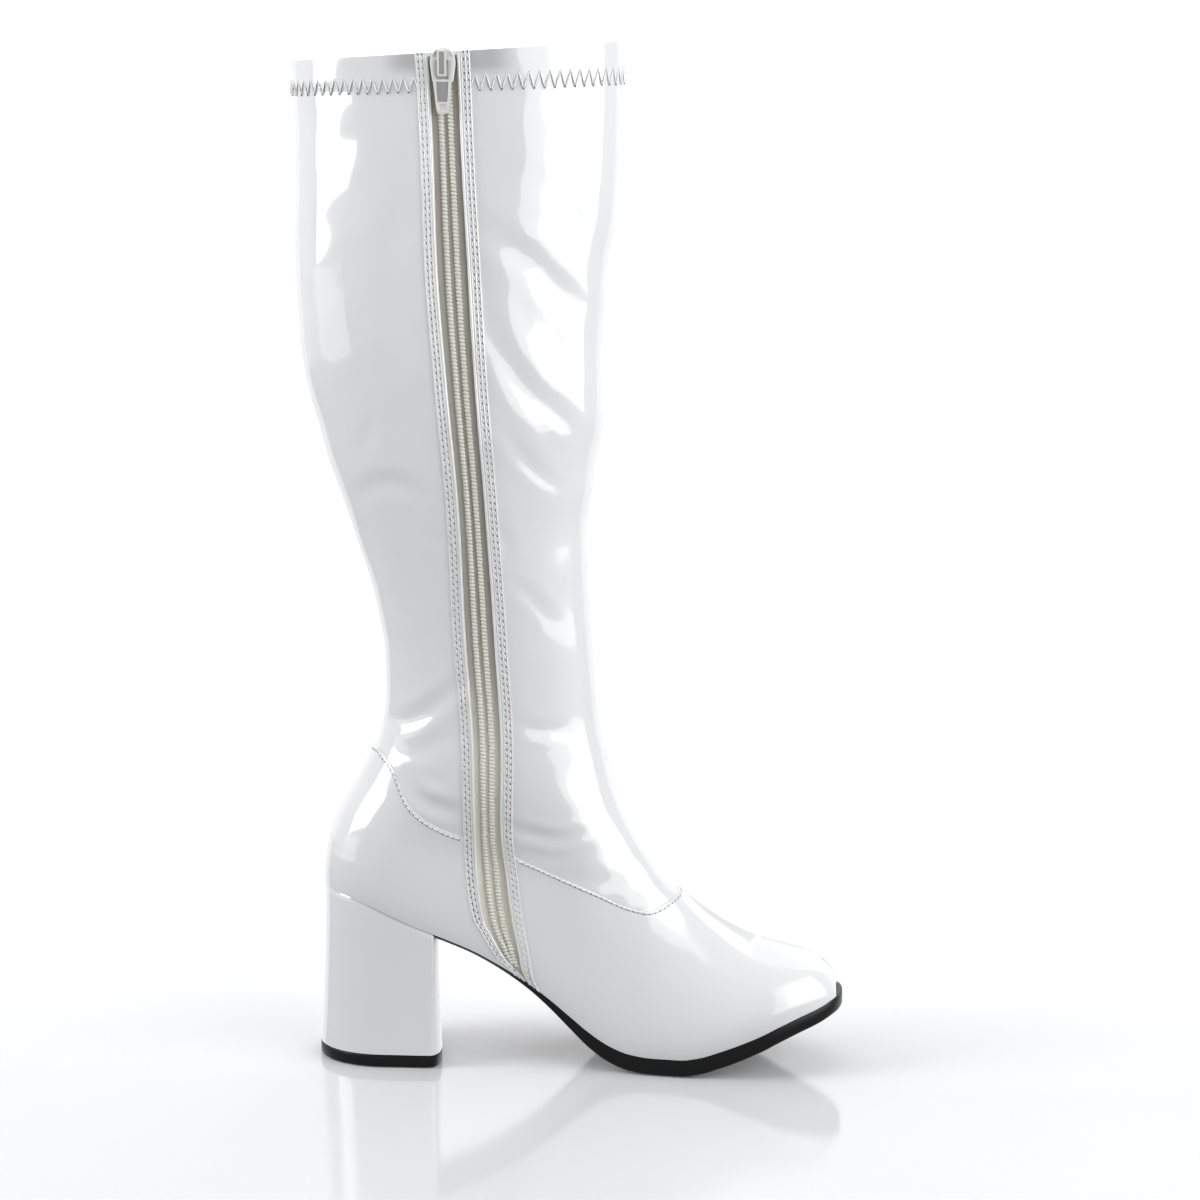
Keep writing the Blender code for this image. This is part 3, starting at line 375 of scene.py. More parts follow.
# %% Folds
# Each fold: side (-1 inner, 0 both), depth and width in metres, then points of its line as
# shares of length and height.
FOLDS = (
    # front of the calf
    (0, 0.00090, 0.0050, ((0.323, 0.834), (0.366, 0.818), (0.419, 0.797), (0.472, 0.767), (0.527, 0.740))),
    (0, 0.00090, 0.0046, ((0.329, 0.792), (0.350, 0.733), (0.400, 0.684), (0.457, 0.654), (0.506, 0.628))),
    (-1, 0.00050, 0.0030, ((0.359, 0.648), (0.395, 0.617), (0.443, 0.590), (0.480, 0.577))),
    (-1, 0.00035, 0.0026, ((0.417, 0.659), (0.449, 0.631), (0.481, 0.614))),
    (0, 0.00035, 0.0040, ((0.417, 0.873), (0.473, 0.854), (0.525, 0.823))),
    (-1, 0.00030, 0.0034, ((0.447, 0.954), (0.479, 0.933), (0.500, 0.920))),
    (-1, 0.00035, 0.0030, ((0.353, 0.551), (0.369, 0.531), (0.378, 0.512))),
    # shin
    (-1, 0.00030, 0.0030, ((0.374, 0.492), (0.414, 0.476), (0.453, 0.448))),
    (-1, 0.00030, 0.0030, ((0.372, 0.358), (0.413, 0.346), (0.468, 0.342))),
    # back of the calf
    (-1, 0.00050, 0.0060, ((0.180, 0.910), (0.187, 0.854), (0.167, 0.797), (0.176, 0.733))),
    (0, 0.00060, 0.0040, ((0.072, 0.563), (0.130, 0.583), (0.177, 0.583), (0.219, 0.574))),
    (-1, 0.00045, 0.0034, ((0.079, 0.552), (0.098, 0.529), (0.124, 0.494))),
    (-1, 0.00035, 0.0030, ((0.123, 0.665), (0.121, 0.638), (0.100, 0.616))),
    (-1, 0.00035, 0.0022, ((0.217, 0.535), (0.247, 0.530), (0.270, 0.533))),
    # back of the ankle
    (0, 0.00085, 0.0036, ((0.140, 0.344), (0.190, 0.352), (0.238, 0.370), (0.290, 0.394))),
    (0, 0.00030, 0.0034, ((0.160, 0.315), (0.200, 0.320), (0.241, 0.331), (0.284, 0.340))),
    (0, 0.00030, 0.0030, ((0.175, 0.300), (0.215, 0.291), (0.260, 0.296))),
    (-1, 0.00090, 0.0034, ((0.169, 0.289), (0.221, 0.269), (0.282, 0.260))),
    # front of the ankle and instep
    (-1, 0.00070, 0.0030, ((0.366, 0.248), (0.411, 0.240), (0.461, 0.234), (0.506, 0.237))),
    (-1, 0.00030, 0.0034, ((0.400, 0.221), (0.450, 0.218), (0.520, 0.219))),
    (0, 0.00016, 0.0036, ((0.468, 0.203), (0.544, 0.191), (0.619, 0.180))),
)
RIPPLE = 0.00018         # height of the slow ripples in the stretched cloth
COLLAR_START = 0.955     # where the hem band begins to lean, share of the height
COLLAR_BLEND = 0.03
COLLAR_FLARE = 0.08      # slope of the hem band near the zip


def fold_line(line):
    """The fold's line in metres, with points added so that it bends smoothly."""
    line = np.array(line)
    number = np.arange(len(line), dtype=float)
    at = np.linspace(0.0, len(line) - 1.0, 3 * (len(line) - 1) + 1)
    along = spline(number, line[:, 0], at) * FOOT_LENGTH
    high = spline(number, line[:, 1], at) * BOOT_HEIGHT
    return along, high


def above_seams(along_share, high_share):
    """1 on the stretch leg, falling to a little below the seams, where panels lie flatter."""
    seam = np.where(along_share < 0.33, smooth(COUNTER_EDGE[:, 0], COUNTER_EDGE[:, 1], along_share),
                    smooth(VAMP_EDGE[:, 0], VAMP_EDGE[:, 1], along_share))
    return 0.12 + 0.88 * ease((high_share - seam + 0.004) / 0.008)


def relief(points):
    """How far the folds move each point of the skin, outward positive."""
    x = share_along(points[..., 0]) * FOOT_LENGTH
    z = points[..., 2]
    side = np.sign(points[..., 1])
    moved = np.zeros(x.shape)
    for fold_side, depth, width, line in FOLDS:
        along, high = fold_line(line)
        best = np.full(x.shape, 1e9)
        edge = np.zeros(x.shape)
        pieces = len(along) - 1
        for k in range(pieces):
            dx, dz = along[k + 1] - along[k], high[k + 1] - high[k]
            run = np.clip(((x - along[k]) * dx + (z - high[k]) * dz) / (dx * dx + dz * dz), 0.0, 1.0)
            gap = np.hypot(x - along[k] - run * dx, z - high[k] - run * dz)
            edge = np.where(gap < best, (k + run) / pieces, edge)
            best = np.minimum(gap, best)
        strength = np.sin(np.pi * np.clip(edge * 0.92 + 0.04, 0, 1)) ** 0.7
        reach = best / width
        shape = -np.exp(-reach ** 2) + 0.45 * np.exp(-((reach - 1.9) / 0.8) ** 2)
        here = 1.0 if fold_side == 0 else np.where(side == fold_side, 1.0, 0.0)
        moved = moved + depth * strength * shape * here
    along_share, high_share = share_along(points[..., 0]), z / BOOT_HEIGHT
    ripple = (np.sin(150.0 * x + 60.0 * z + side) * np.sin(70.0 * z - 40.0 * x + 0.7)
              + 0.6 * np.sin(260.0 * x - 110.0 * z + 2.0) * np.sin(120.0 * z + 90.0 * x + side))
    ripple = ripple * (0.25 + 0.75 * ease((high_share - 0.50) / 0.15))
    at_collar = ease((high_share - COLLAR_START) / COLLAR_BLEND)
    steady = above_seams(along_share, high_share) * (1.0 - at_collar)
    near_zip = np.exp(-((along_share - 0.27) / 0.16) ** 2) * (side < 0)
    above_start = np.clip(high_share - COLLAR_START, 0.0, 1.0)
    flare = COLLAR_FLARE * BOOT_HEIGHT * at_collar * above_start * near_zip
    return (moved + RIPPLE * ripple) * steady + flare


def dressed(ring, turn, lift=0.0):
    """Points of the folded skin, lifted off it by some distance."""
    points = skin(ring, turn)
    normal = skin_normal(ring, turn)
    return points + normal * (relief(points) + lift)[..., None], normal


print("folds:", len(FOLDS), "deepest", max(fold[1] for fold in FOLDS))

# %% [markdown]
# ## Lofting a piece
# Each soft piece starts as a flat grid primitive, as cloth does on the cutting table. Its
# points are then laid on the boot, doubles are merged where the grid meets itself, and a
# Solidify modifier gives the real thickness where the piece is a sheet.

# %% Helpers that lay a grid on the boot
def choose_none():
    bpy.ops.object.select_all(action="DESELECT")


def make_active(obj):
    choose_none()
    obj.select_set(True)
    bpy.context.view_layer.objects.active = obj


def laid_grid(name, points, closed=False):
    """A grid primitive whose points are laid on the given (rows, columns, 3) places."""
    if closed:
        points = np.concatenate([points, points[:, :1]], axis=1)
    rows, columns = points.shape[:2]
    choose_none()
    bpy.ops.mesh.primitive_grid_add(x_subdivisions=columns - 1, y_subdivisions=rows - 1, size=1.0)
    obj = bpy.context.object
    obj.name = name
    obj.data.name = name
    assert len(obj.data.vertices) == rows * columns
    obj.data.vertices.foreach_set("co", points.reshape(-1, 3).ravel())
    obj.data.update()
    return obj


MERGE = 1e-6


def face_out(obj, merge=None):
    """Turn the faces outward, first merging points that lie nearer than merge."""
    make_active(obj)
    bpy.ops.object.mode_set(mode="EDIT")
    bpy.ops.mesh.select_all(action="SELECT")
    if merge is not None:
        bpy.ops.mesh.remove_doubles(threshold=merge)
    bpy.ops.mesh.normals_make_consistent(inside=False)
    bpy.ops.object.mode_set(mode="OBJECT")


def thicken(obj, thickness):
    """Give a sheet a wall, inward from its faces."""
    make_active(obj)
    wall = obj.modifiers.new("wall", "SOLIDIFY")
    wall.thickness = thickness
    wall.offset = -1.0
    wall.use_even_offset = False
    bpy.ops.object.modifier_apply(modifier="wall")


def smooth_faces(obj, angle=None):
    make_active(obj)
    if angle is None:
        bpy.ops.object.shade_smooth()
    else:
        bpy.ops.object.shade_smooth_by_angle(angle=math.radians(angle))


def dress(obj, material, slot, *nodes, body="boot", angle=None):
    """Shade a finished piece, give its material, and hang it on its body."""
    smooth_faces(obj, angle)
    obj.data.materials.clear()
    obj.data.materials.append(material)
    if nodes:
        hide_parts(*nodes)
    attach(obj, body)
    faces = sum(len(p.vertices) - 2 for p in obj.data.polygons)
    print(obj.name, faces, "triangles")
    return obj


def face_along(obj, place, normal):
    """Flip a mesh whose face nearest to a place points against a known normal."""
    mesh = obj.data
    centres = np.array([p.center[:] for p in mesh.polygons])
    nearest = int(np.argmin(np.linalg.norm(centres - place, axis=1)))
    if np.dot(mesh.polygons[nearest].normal, normal) < 0:
        mesh.flip_normals()


def sheet(name, places, seen, outward, wall, merge=MERGE):
    """A thickened grid that faces outward at the seen (row, column)."""
    obj = laid_grid(name, places)
    face_out(obj, merge)
    face_along(obj, places[seen], outward)
    thicken(obj, wall)
    return obj


print("helpers ready, points nearer than", MERGE, "m are merged")

# %% [markdown]
# ## Shader maths
# Node trees are easier to read as sums. This small class wraps a socket, so `1 - mask * 0.3`
# adds the Math nodes that it says. Any other node comes from one method.

# %% Node expressions
class Value:
    """A socket that can be added, taken away, multiplied and divided."""

    def __init__(self, tree, socket):
        self.tree = tree
        self.socket = socket

    def maths(self, operation, other, swap=False):
        node = self.tree.nodes.new("ShaderNodeMath")
        node.operation = operation
        for slot, term in enumerate((other, self) if swap else (self, other)):
            if isinstance(term, Value):
                self.tree.links.new(term.socket, node.inputs[slot])
            else:
                node.inputs[slot].default_value = term
        return Value(self.tree, node.outputs[0])

    def __add__(self, other):
        return self.maths("ADD", other)

    __radd__ = __add__

    def __sub__(self, other):
        return self.maths("SUBTRACT", other)

    def __rsub__(self, other):
        return self.maths("SUBTRACT", other, swap=True)

    def __mul__(self, other):
        return self.maths("MULTIPLY", other)

    __rmul__ = __mul__

    def __truediv__(self, other):
        return self.maths("DIVIDE", other)

    def __rtruediv__(self, other):
        return self.maths("DIVIDE", other, swap=True)

    def absolute(self):
        return self.maths("ABSOLUTE", 0.0)


class Finish:
    """A new material with its Principled shader and a way to add nodes."""

    def __init__(self, name, **sockets):
        self.material = bpy.data.materials.new(name)
        self.material.use_nodes = True
        self.tree = self.material.node_tree
        self.shader = self.tree.nodes["Principled BSDF"]
        for key, value in sockets.items():
            self.shader.inputs[key.replace("_", " ")].default_value = value

    def node(self, kind, settings=None, inputs=None, output=0):
        node = self.tree.nodes.new(kind)
        for key, value in (settings or {}).items():
            setattr(node, key, value)
        for key, value in (inputs or {}).items():
            if isinstance(value, Value):
                self.tree.links.new(value.socket, node.inputs[key])
            else:
                node.inputs[key].default_value = value
        return Value(self.tree, node.outputs[output])

    def place(self):
        return self.node("ShaderNodeTexCoord", output="Object")

    def axis(self, number):
        """One coordinate of the place: 0 for x, 1 for y, 2 for z."""
        return self.node("ShaderNodeSeparateXYZ", inputs={0: self.place()}, output=number)

    def noise(self, scale, detail=2.0):
        return self.node("ShaderNodeTexNoise", inputs={
            "Vector": self.place(), "Scale": scale, "Detail": detail, "Roughness": 0.5})

    def bands(self, direction, scale, distortion=0.0):
        return self.node("ShaderNodeTexWave", {"wave_type": "BANDS", "bands_direction": direction},
                         {"Vector": self.place(), "Scale": scale, "Distortion": distortion})

    def ranged(self, value, start, end, low, high, kind="SMOOTHSTEP"):
        return self.node("ShaderNodeMapRange", {"interpolation_type": kind},
                         {0: value, 1: start, 2: end, 3: low, 4: high})

    def blend_colours(self, factor, low, high):
        return self.node("ShaderNodeMix", {"data_type": "RGBA"},
                         {0: factor, 6: low, 7: high}, output=2)

    def feed(self, **links):
        for key, value in links.items():
            self.tree.links.new(value.socket, self.shader.inputs[key.replace("_", " ")])

    def bump(self, height, strength, distance):
        self.feed(Normal=self.node("ShaderNodeBump", inputs={
            "Height": height, "Strength": strength, "Distance": distance}))


def tone(colour, share=1.0):
    """An opaque colour, made darker or paler by a share."""
    return (*(c * share for c in colour), 1.0)


print("node helpers ready")

# %% [markdown]
# ## White patent
# Patent is cloth under a thick clear film: white and diffuse below, mirror-like on top, with
# faint ripples where the film follows the cloth. So the base is a soft white, the coat is
# full, and a slow and a fine noise ripple it. A plain glossy white would show the lights too
# sharply. The vamp is stiffer and duller, so its coat is weaker. Beside the zip the hem lies
# in shade, and there its base colour is painted darker as painted shade.

# %% Patent finishes
# Painted shade: beside the zip the hem's base colour is darkened to this share.
HEM_SHADE = 0.64         # tone of the hem beside the zip
HEM_SHADE_MIDDLE, HEM_SHADE_INNER, HEM_SHADE_OUTER = 0.0385, 0.018, 0.032
HEM_SHADE_LOW, HEM_SHADE_HIGH = 0.4520, 0.4595


def painted_zip_shade(finish):
    """Mask of the painted shade: 1 on the hem beside the zip and 0 elsewhere."""
    away = (finish.axis(0) - HEM_SHADE_MIDDLE).absolute()
    beside = finish.ranged(away, HEM_SHADE_INNER, HEM_SHADE_OUTER, 1.0, 0.0)
    inner = finish.ranged(finish.axis(1), -0.02, 0.0, 1.0, 0.0, "LINEAR")
    return beside * inner * finish.ranged(finish.axis(2), HEM_SHADE_LOW, HEM_SHADE_HIGH, 0.0, 1.0)


def patent(name, base, ripple, haze=0.05, coat=1.0, shade=None):
    finish = Finish(name, Coat_Weight=coat, Coat_Roughness=haze, Coat_IOR=1.7, IOR=1.45)
    white = finish.blend_colours(finish.noise(22.0, 3.0), tone(base, 0.97), tone(base))
    # A shade mask paints the base colour darker there, as painted shade.
    if shade is not None:
        white = finish.blend_colours(shade(finish), white, tone(base, HEM_SHADE))
    finish.feed(Base_Color=white)
    fine = finish.noise(420.0)
    finish.feed(Roughness=0.16 + 0.05 * (fine - 0.5))
    finish.bump(finish.noise(70.0) * 0.7 + fine * 0.12, ripple, 0.0012)
    return finish.material


WHITE = (0.766, 0.775, 0.788)
shaft_patent = patent("shaft_patent", WHITE, 0.10)
painted_shade_hem_patent = patent("painted_shade_hem_patent", WHITE, 0.10, shade=painted_zip_shade)
panel_patent = patent("panel_patent", WHITE, 0.06, haze=0.07)
vamp_patent = patent("vamp_patent", WHITE, 0.06, haze=0.10, coat=0.6)
heel_patent = patent("heel_patent", WHITE, 0.04, haze=0.06)
print("patent finishes made")

# %% [markdown]
# ## Rubber, thread, cloth and paint
# The sole is satin black rubber with a fine grain. Thread shows its twist as slanting bands,
# tape and lining their weave as two crossed ones. The slider is painted. Each is a few nodes
# with slight changes of tone, because an even colour would look like plastic.

# %% Other finishes
def rubber(name, level, roughness):
    finish = Finish(name, Specular_IOR_Level=0.28)
    grain = finish.noise(900.0, 3.0)
    finish.feed(Base_Color=finish.blend_colours(
        finish.noise(45.0, 3.0), tone((level * 0.7, level * 0.7, level * 0.72)), tone((level,) * 3, 1.5)))
    finish.feed(Roughness=roughness + 0.12 * (grain - 0.5))
    finish.bump(grain, 0.10, 0.0003)
    return finish.material


def thread_finish(name, colour, roughness=0.55):
    finish = Finish(name)
    twist = finish.bands("DIAGONAL", 900.0, 0.5)
    finish.feed(Base_Color=finish.blend_colours(twist, tone(colour, 0.86), tone(colour)))
    finish.feed(Roughness=roughness + 0.1 * (twist - 0.5))
    finish.bump(twist, 0.3, 0.0001)
    return finish.material


def woven(name, colour, scale, paler=1.0):
    """A weave; below the ankle its colour is multiplied by paler."""
    finish = Finish(name, Roughness=0.8, Sheen_Weight=0.15)
    weave = finish.bands("X", scale) * 0.5 + finish.bands("Z", scale * 1.3) * 0.5
    cloth = finish.blend_colours(weave, tone(colour, 0.84), tone(colour))
    low = finish.ranged(finish.axis(2), 0.13, 0.22, 1.0, 0.0)
    finish.feed(Base_Color=finish.blend_colours(low, cloth, tone(colour, paler)))
    finish.bump(weave, 0.5, 0.0002)
    return finish.material


def paint(name, colour, roughness):
    finish = Finish(name, Coat_Weight=0.5, Coat_Roughness=0.15)
    cloud = finish.noise(300.0, 3.0)
    finish.feed(Base_Color=finish.blend_colours(cloud, tone(colour, 0.93), tone(colour)))
    finish.feed(Roughness=roughness + 0.1 * (cloud - 0.5))
    finish.bump(cloud, 0.08, 0.0002)
    return finish.material


sole_black = rubber("sole_black", 0.005, 0.34)
lift_black = rubber("lift_black", 0.005, 0.36)
white_thread = thread_finish("white_thread", (0.95, 0.95, 0.94), 0.35)
# Painted shade: grey beads in the dents beside stitches, dark beads in the needle holes.
seam_shade = thread_finish("seam_shade", (0.46, 0.46, 0.47))
needle_shadow = thread_finish("needle_shadow", (0.09, 0.09, 0.095))
tape_ivory = woven("tape_ivory", (0.60, 0.59, 0.51), 700.0, paler=1.35)
lining_white = woven("lining_white", (0.66, 0.65, 0.62), 500.0)
coil_ivory = thread_finish("coil_ivory", (0.80, 0.79, 0.73), 0.45)
slider_paint = paint("slider_paint", (0.75, 0.75, 0.72), 0.30)
# Painted shade: the grey plates that lie in the sunk panels of bridge and pull.
recess_shade_grey = paint("recess_shade_grey", (0.34, 0.34, 0.35), 0.35)
print("other finishes made")

# %% [markdown]
# ## The boot leg and foot
# The upper is one stretch patent tube shut over the last, with the zip gap on its inner side.
# A grid is laid from the front edge of the gap round the boot to its rear edge, and closed
# under the zip. Solidify then gives the wall, so the rim and the gap show a real edge.

# %% Upper
LEG_ROWS, LOW_ROWS = 176, 13     # rows of the grid, and those below the third ring
FRONT_SIDE, OUTER_SIDE, BACK_SIDE = 52, 92, 54
ring_steps = np.concatenate([np.linspace(0.0, 3.0, LOW_ROWS + 1)[:-1],
                             np.linspace(3.0, TOP_RING, LEG_ROWS - LOW_ROWS)])


def leg_turns(ring):
    """Turns from the front edge of the gap, round the boot, to its rear edge."""
    rear_x, front_x = zip_edges(ring)
    closed = ring <= 0.5
    middle = turn_at(ring, 0.5 * (rear_x + front_x))
    rear = np.where(closed, middle, turn_at(ring, rear_x))
    front = np.where(closed, middle, turn_at(ring, front_x))
    way = np.linspace(0.0, 1.0, FRONT_SIDE + 1)[:-1]
    first = front[:, None] + (1.0 - front[:, None]) * way
    second = 1.0 + np.linspace(0.0, 1.0, OUTER_SIDE + 1)[:-1]
    second = np.repeat(second[None], len(ring), axis=0)
    third = 2.0 + rear[:, None] * np.linspace(0.0, 1.0, BACK_SIDE + 1)
    return np.concatenate([first, second, third], axis=1)


leg_points, leg_normals = dressed(ring_steps[:, None], leg_turns(ring_steps))
seen = (120, 60)
upper = sheet("boot_upper", leg_points, seen, leg_normals[seen], WALL, merge=2e-5)
dress(upper, shaft_patent, "white_patent", "upper")

# %% [markdown]
# ### Lining
# A thin woven lining hangs inside the patent and ends under the turned hem. It is the same
# grid again, laid a little further in and turned to face the leg, so it follows every fold.

# %% Lining
LINING_DEPTH, LINING_THICKNESS = 0.0028, 0.0003
lining_rings = np.linspace(2.0, HEM_RING, 130)
lining_turns = leg_turns(lining_rings)
lining_points, lining_normals = dressed(lining_rings[:, None], lining_turns, lift=-LINING_DEPTH)
seen = (90, 60)
lining = sheet("lining", lining_points, seen, -lining_normals[seen], LINING_THICKNESS)
dress(lining, lining_white, "white_patent")

# %% [markdown]
# ## Panels over the upper
# The vamp and the counter are cut separately and stitched over the leg, with a turned edge
# that catches the light. The zip facings and the hem are folded strips. Each is a thin patch
# on the same skin whose edge rolls down over less than a millimetre.

# %% Panels
PANEL_HEIGHT = 0.0005
PANEL_WALL = 0.0004
PANEL_SINK = 0.00005     # how far a panel's low edge lies in the skin
EDGE_ROLL = 0.0007


def edge_shares(count, length, roll):
    """Shares from 0 to 1 with extra lines where an edge rolls down."""
    ends = np.array([0.0, 0.12, 0.35, 0.7, 1.0]) * min(roll / length, 0.2)
    middle = np.linspace(ends[-1], 1 - ends[-1], count)
    return np.concatenate([ends[:-1], middle, 1 - ends[:-1][::-1]])


def roll_height(distance, roll):
    """Rises from 0 to 1 over the roll as a quarter circle does."""
    return np.sqrt(np.clip(1.0 - (1.0 - np.clip(distance / roll, 0, 1)) ** 2, 0, 1))


def soft_height(distance, roll):
    return ease(distance / roll)


def panel(name, ring, turn, rolled, height=PANEL_HEIGHT, roll=EDGE_ROLL, material=None, across=None,
          rise=roll_height):
    """A thin patch over the skin: ring and turn give its grid, rolled its rolled edges as
    (first row, last row, first column, last column)."""
    flat, _ = dressed(ring, turn)
    along_rows = np.linalg.norm(np.diff(flat, axis=0), axis=2)
    along_columns = np.linalg.norm(np.diff(flat, axis=1), axis=2)
    zero_row = np.zeros((1, flat.shape[1]))
    zero_column = np.zeros((flat.shape[0], 1))
    from_first_row = np.concatenate([zero_row, np.cumsum(along_rows, axis=0)])
    from_first_column = np.concatenate([zero_column, np.cumsum(along_columns, axis=1)], axis=1)
    distances = (from_first_row, from_first_row[-1:] - from_first_row,
                 from_first_column, from_first_column[:, -1:] - from_first_column)
    level = np.ones(flat.shape[:2])
    for used, distance in zip(rolled, distances):
        if used:
            level = np.minimum(level, rise(distance, roll))
    if across is not None:
        level = level * across(from_first_column)
    places, normal = dressed(ring, turn, lift=height * level - PANEL_SINK)
    middle = (places.shape[0] // 2, places.shape[1] // 2)
    obj = sheet(name, places, middle, normal[middle], PANEL_WALL)
    return dress(obj, material or panel_patent, "white_patent")


def seam_ring(edge, turn, low, high):
    """Ring number at which each turn crosses a seam line of the side view."""
    low = np.full(turn.shape, low)
    high = np.full(turn.shape, high)
    for _ in range(40):
        middle = 0.5 * (low + high)
        point = skin(middle, turn)
        under = point[..., 2] / BOOT_HEIGHT < smooth(edge[:, 0], edge[:, 1], share_along(point[..., 0]))
        low = np.where(under, middle, low)
        high = np.where(under, high, middle)
    return 0.5 * (low + high)


OUTER_JOIN = 0.36      # where vamp and counter meet on the outer side, share along


def patch(first_turn, last_turn, edge, columns, rows, low, high, length):
    """Ring and turn grids between the feather line and a seam."""
    share = edge_shares(rows, length, EDGE_ROLL)
    across = np.linspace(0.0, 1.0, columns)
    ring = np.full((len(share), columns), 8.0)
    for _ in range(6):
        turn = first_turn(ring) + (last_turn(ring) - first_turn(ring)) * across[None, :]
        top = seam_ring(edge, turn[-1], low, high)
        ring = share[:, None] * top[None, :]
    return ring, turn


def front_edge_turn(ring):
    return turn_at(ring, zip_edges(ring)[1])


def rear_edge_turn(ring):
    return turn_at(ring, zip_edges(ring)[0])


def outer_join_turn(ring):
    x = HEEL_BACK + OUTER_JOIN * FOOT_LENGTH
    return 2.0 - turn_at(ring, x)


vamp_ring, vamp_turn = patch(front_edge_turn, outer_join_turn, VAMP_EDGE, 150, 46, 6.0, 18.0, 0.060)
panel("vamp", vamp_ring, vamp_turn, (False, True, False, True), material=vamp_patent)
counter_ring, counter_turn = patch(lambda ring: outer_join_turn(ring) - 2.0, rear_edge_turn, COUNTER_EDGE,
                                   110, 40, 8.0, 20.0, 0.060)
panel("counter", counter_ring, counter_turn, (False, True, False, False))

# %% [markdown]
# ### Zip facings and hem
# Each facing is a strip folded round the edge of the gap and stitched down twice, so it
# swells between its stitch rows. The hem is turned in at the collar and held by the zigzag,
# above which it swells a little. Both are patches like the panels, with another height.

# %% Zip facings and hem band
def strip_turns(ring, side, width, count):
    """Turns across a facing: from the gap's edge outward by a width."""
    rear, front = zip_edges(ring)
    edge = rear if side < 0 else front
    shares = edge_shares(count, width, EDGE_ROLL)
    x = edge[:, None] + side * width * shares[None, :]
    return turn_at(ring[:, None], x)


STITCH_INSETS = (0.0026, 0.0044)     # from the edge of the gap
FACING_HEIGHT = 0.0010
HEM_WIDTH, HEM_HEIGHT, HEM_ROLL = 0.016, 0.0004, 0.006


def quilted(distance):
    """Facing height: a folded edge, then the dips that the two stitch rows pull."""
    fold = 0.35 * np.exp(-((distance - 0.0013) / 0.00028) ** 2)
    rows = sum(0.60 * np.exp(-((distance - inset) / 0.00055) ** 2) for inset in STITCH_INSETS)
    return 1.0 - fold - rows


facing_rings = np.linspace(0.0, TOP_RING, 220)
for name, side in (("zip_facing_rear", -1), ("zip_facing_front", 1)):
    grid_turns = strip_turns(facing_rings, side, FACING_WIDTH, 24)
    ring_grid = np.repeat(facing_rings[:, None], grid_turns.shape[1], axis=1)
    panel(name, ring_grid, grid_turns, (False, False, True, True), height=FACING_HEIGHT,
          across=quilted)

hem_shares = edge_shares(14, HEM_WIDTH, EDGE_ROLL)
hem_rings = HEM_RING + (TOP_RING - HEM_RING) * hem_shares
hem_turns = leg_turns(hem_rings)
panel("hem_band", np.repeat(hem_rings[:, None], hem_turns.shape[1], axis=1), hem_turns,
      (True, False, False, False), height=HEM_HEIGHT, roll=HEM_ROLL, material=painted_shade_hem_patent, rise=soft_height)

# %% [markdown]
# ## Stitches
# One stitch is a grain-shaped bead of thread. It is modelled once, then set down along each
# seam at the real pitch. Beside it lies a grey bead of painted shade for the dent that the
# thread pulls, and between two stitches a dark bead of painted shade for the needle hole. Dents
# this small would cost far more faces in the skin itself for the same look.

# %% Stitch rows
def bead_mesh(segments=6, bands=4):
    """Points and faces of one bead, from a small sphere."""
    choose_none()
    bpy.ops.mesh.primitive_uv_sphere_add(segments=segments, ring_count=bands, radius=1.0)
    obj = bpy.context.object
    vertices = np.array([v.co[:] for v in obj.data.vertices])
    faces = [tuple(p.vertices) for p in obj.data.polygons]
    bpy.data.objects.remove(obj)
    return vertices, faces


BEAD_POINTS, BEAD_FACES = bead_mesh()


def path_length(points):
    """Length from the start of a path to each of its points."""
    steps = np.linalg.norm(np.diff(points, axis=0), axis=1)
    return np.concatenate([[0.0], np.cumsum(steps)])


def resample(points, normals, pitch):
    """Points evenly spaced along a path, with directions and normals."""
    length = path_length(points)

    def along(values, where):
        return np.stack([np.interp(where, length, values[:, k]) for k in range(3)], axis=1)

    count = max(int(length[-1] / pitch), 1)
    at = (np.arange(count) + 0.5) * length[-1] / count
    way = along(points, at + 0.3 * pitch) - along(points, at - 0.3 * pitch)
    return along(points, at), unit(way), unit(along(normals, at))


def scatter(name, rows, material, slot, *nodes):
    """One mesh with a bead at every (place, way, normal, half length, half width, half height)."""
    vertices, faces = [], []
    for place, way, normal, long, wide, high in rows:
        for p, w, n, a in zip(place, way, normal, np.cross(normal, way)):
            base = len(vertices) * len(BEAD_POINTS)
            vertices.append(p + BEAD_POINTS[:, 2:3] * w * long + BEAD_POINTS[:, 1:2] * n * high
                            + BEAD_POINTS[:, 0:1] * a * wide)
            faces.extend(tuple(base + k for k in face) for face in BEAD_FACES)
    mesh = bpy.data.meshes.new(name)
    mesh.from_pydata(np.concatenate(vertices).tolist(), [], faces)
    obj = bpy.data.objects.new(name, mesh)
    bpy.context.scene.collection.objects.link(obj)
    face_out(obj)
    return dress(obj, material, slot, *nodes)


STITCH_PITCH, SEAM_PITCH = 0.0030, 0.0026
STITCH_LIFT, SEAM_LIFT = 0.00052, 0.00046
STITCH_SLANT = 0.16
thread_rows, hole_shadow_rows, shade_rows = [], [], []


def sew(ring, turn, lift, pitch=STITCH_PITCH, shade=0.00012, dash=0.44):
    """A row of stitches; dash is the half length of a shade, share of the pitch."""
    place, way, normal = resample(*dressed(ring, turn, lift), pitch)
    beside = np.cross(normal, way)
    slant = unit(way + STITCH_SLANT * beside)
    thread_rows.append((place, slant, normal, 0.50 * pitch, 0.00040, 0.00044))
    # Dark beads of painted shade for the needle holes, grey beads of painted shade beside the thread.
    hole_shadows = place + way * 0.5 * pitch - beside * 0.00042 - normal * 0.00006
    hole_shadow_rows.append((hole_shadows, slant, normal, 0.61 * dash * pitch, 0.00042, 0.00032))
    shade_rows.append((place - beside * 0.00036, slant, normal, dash * pitch, 0.00046, shade))


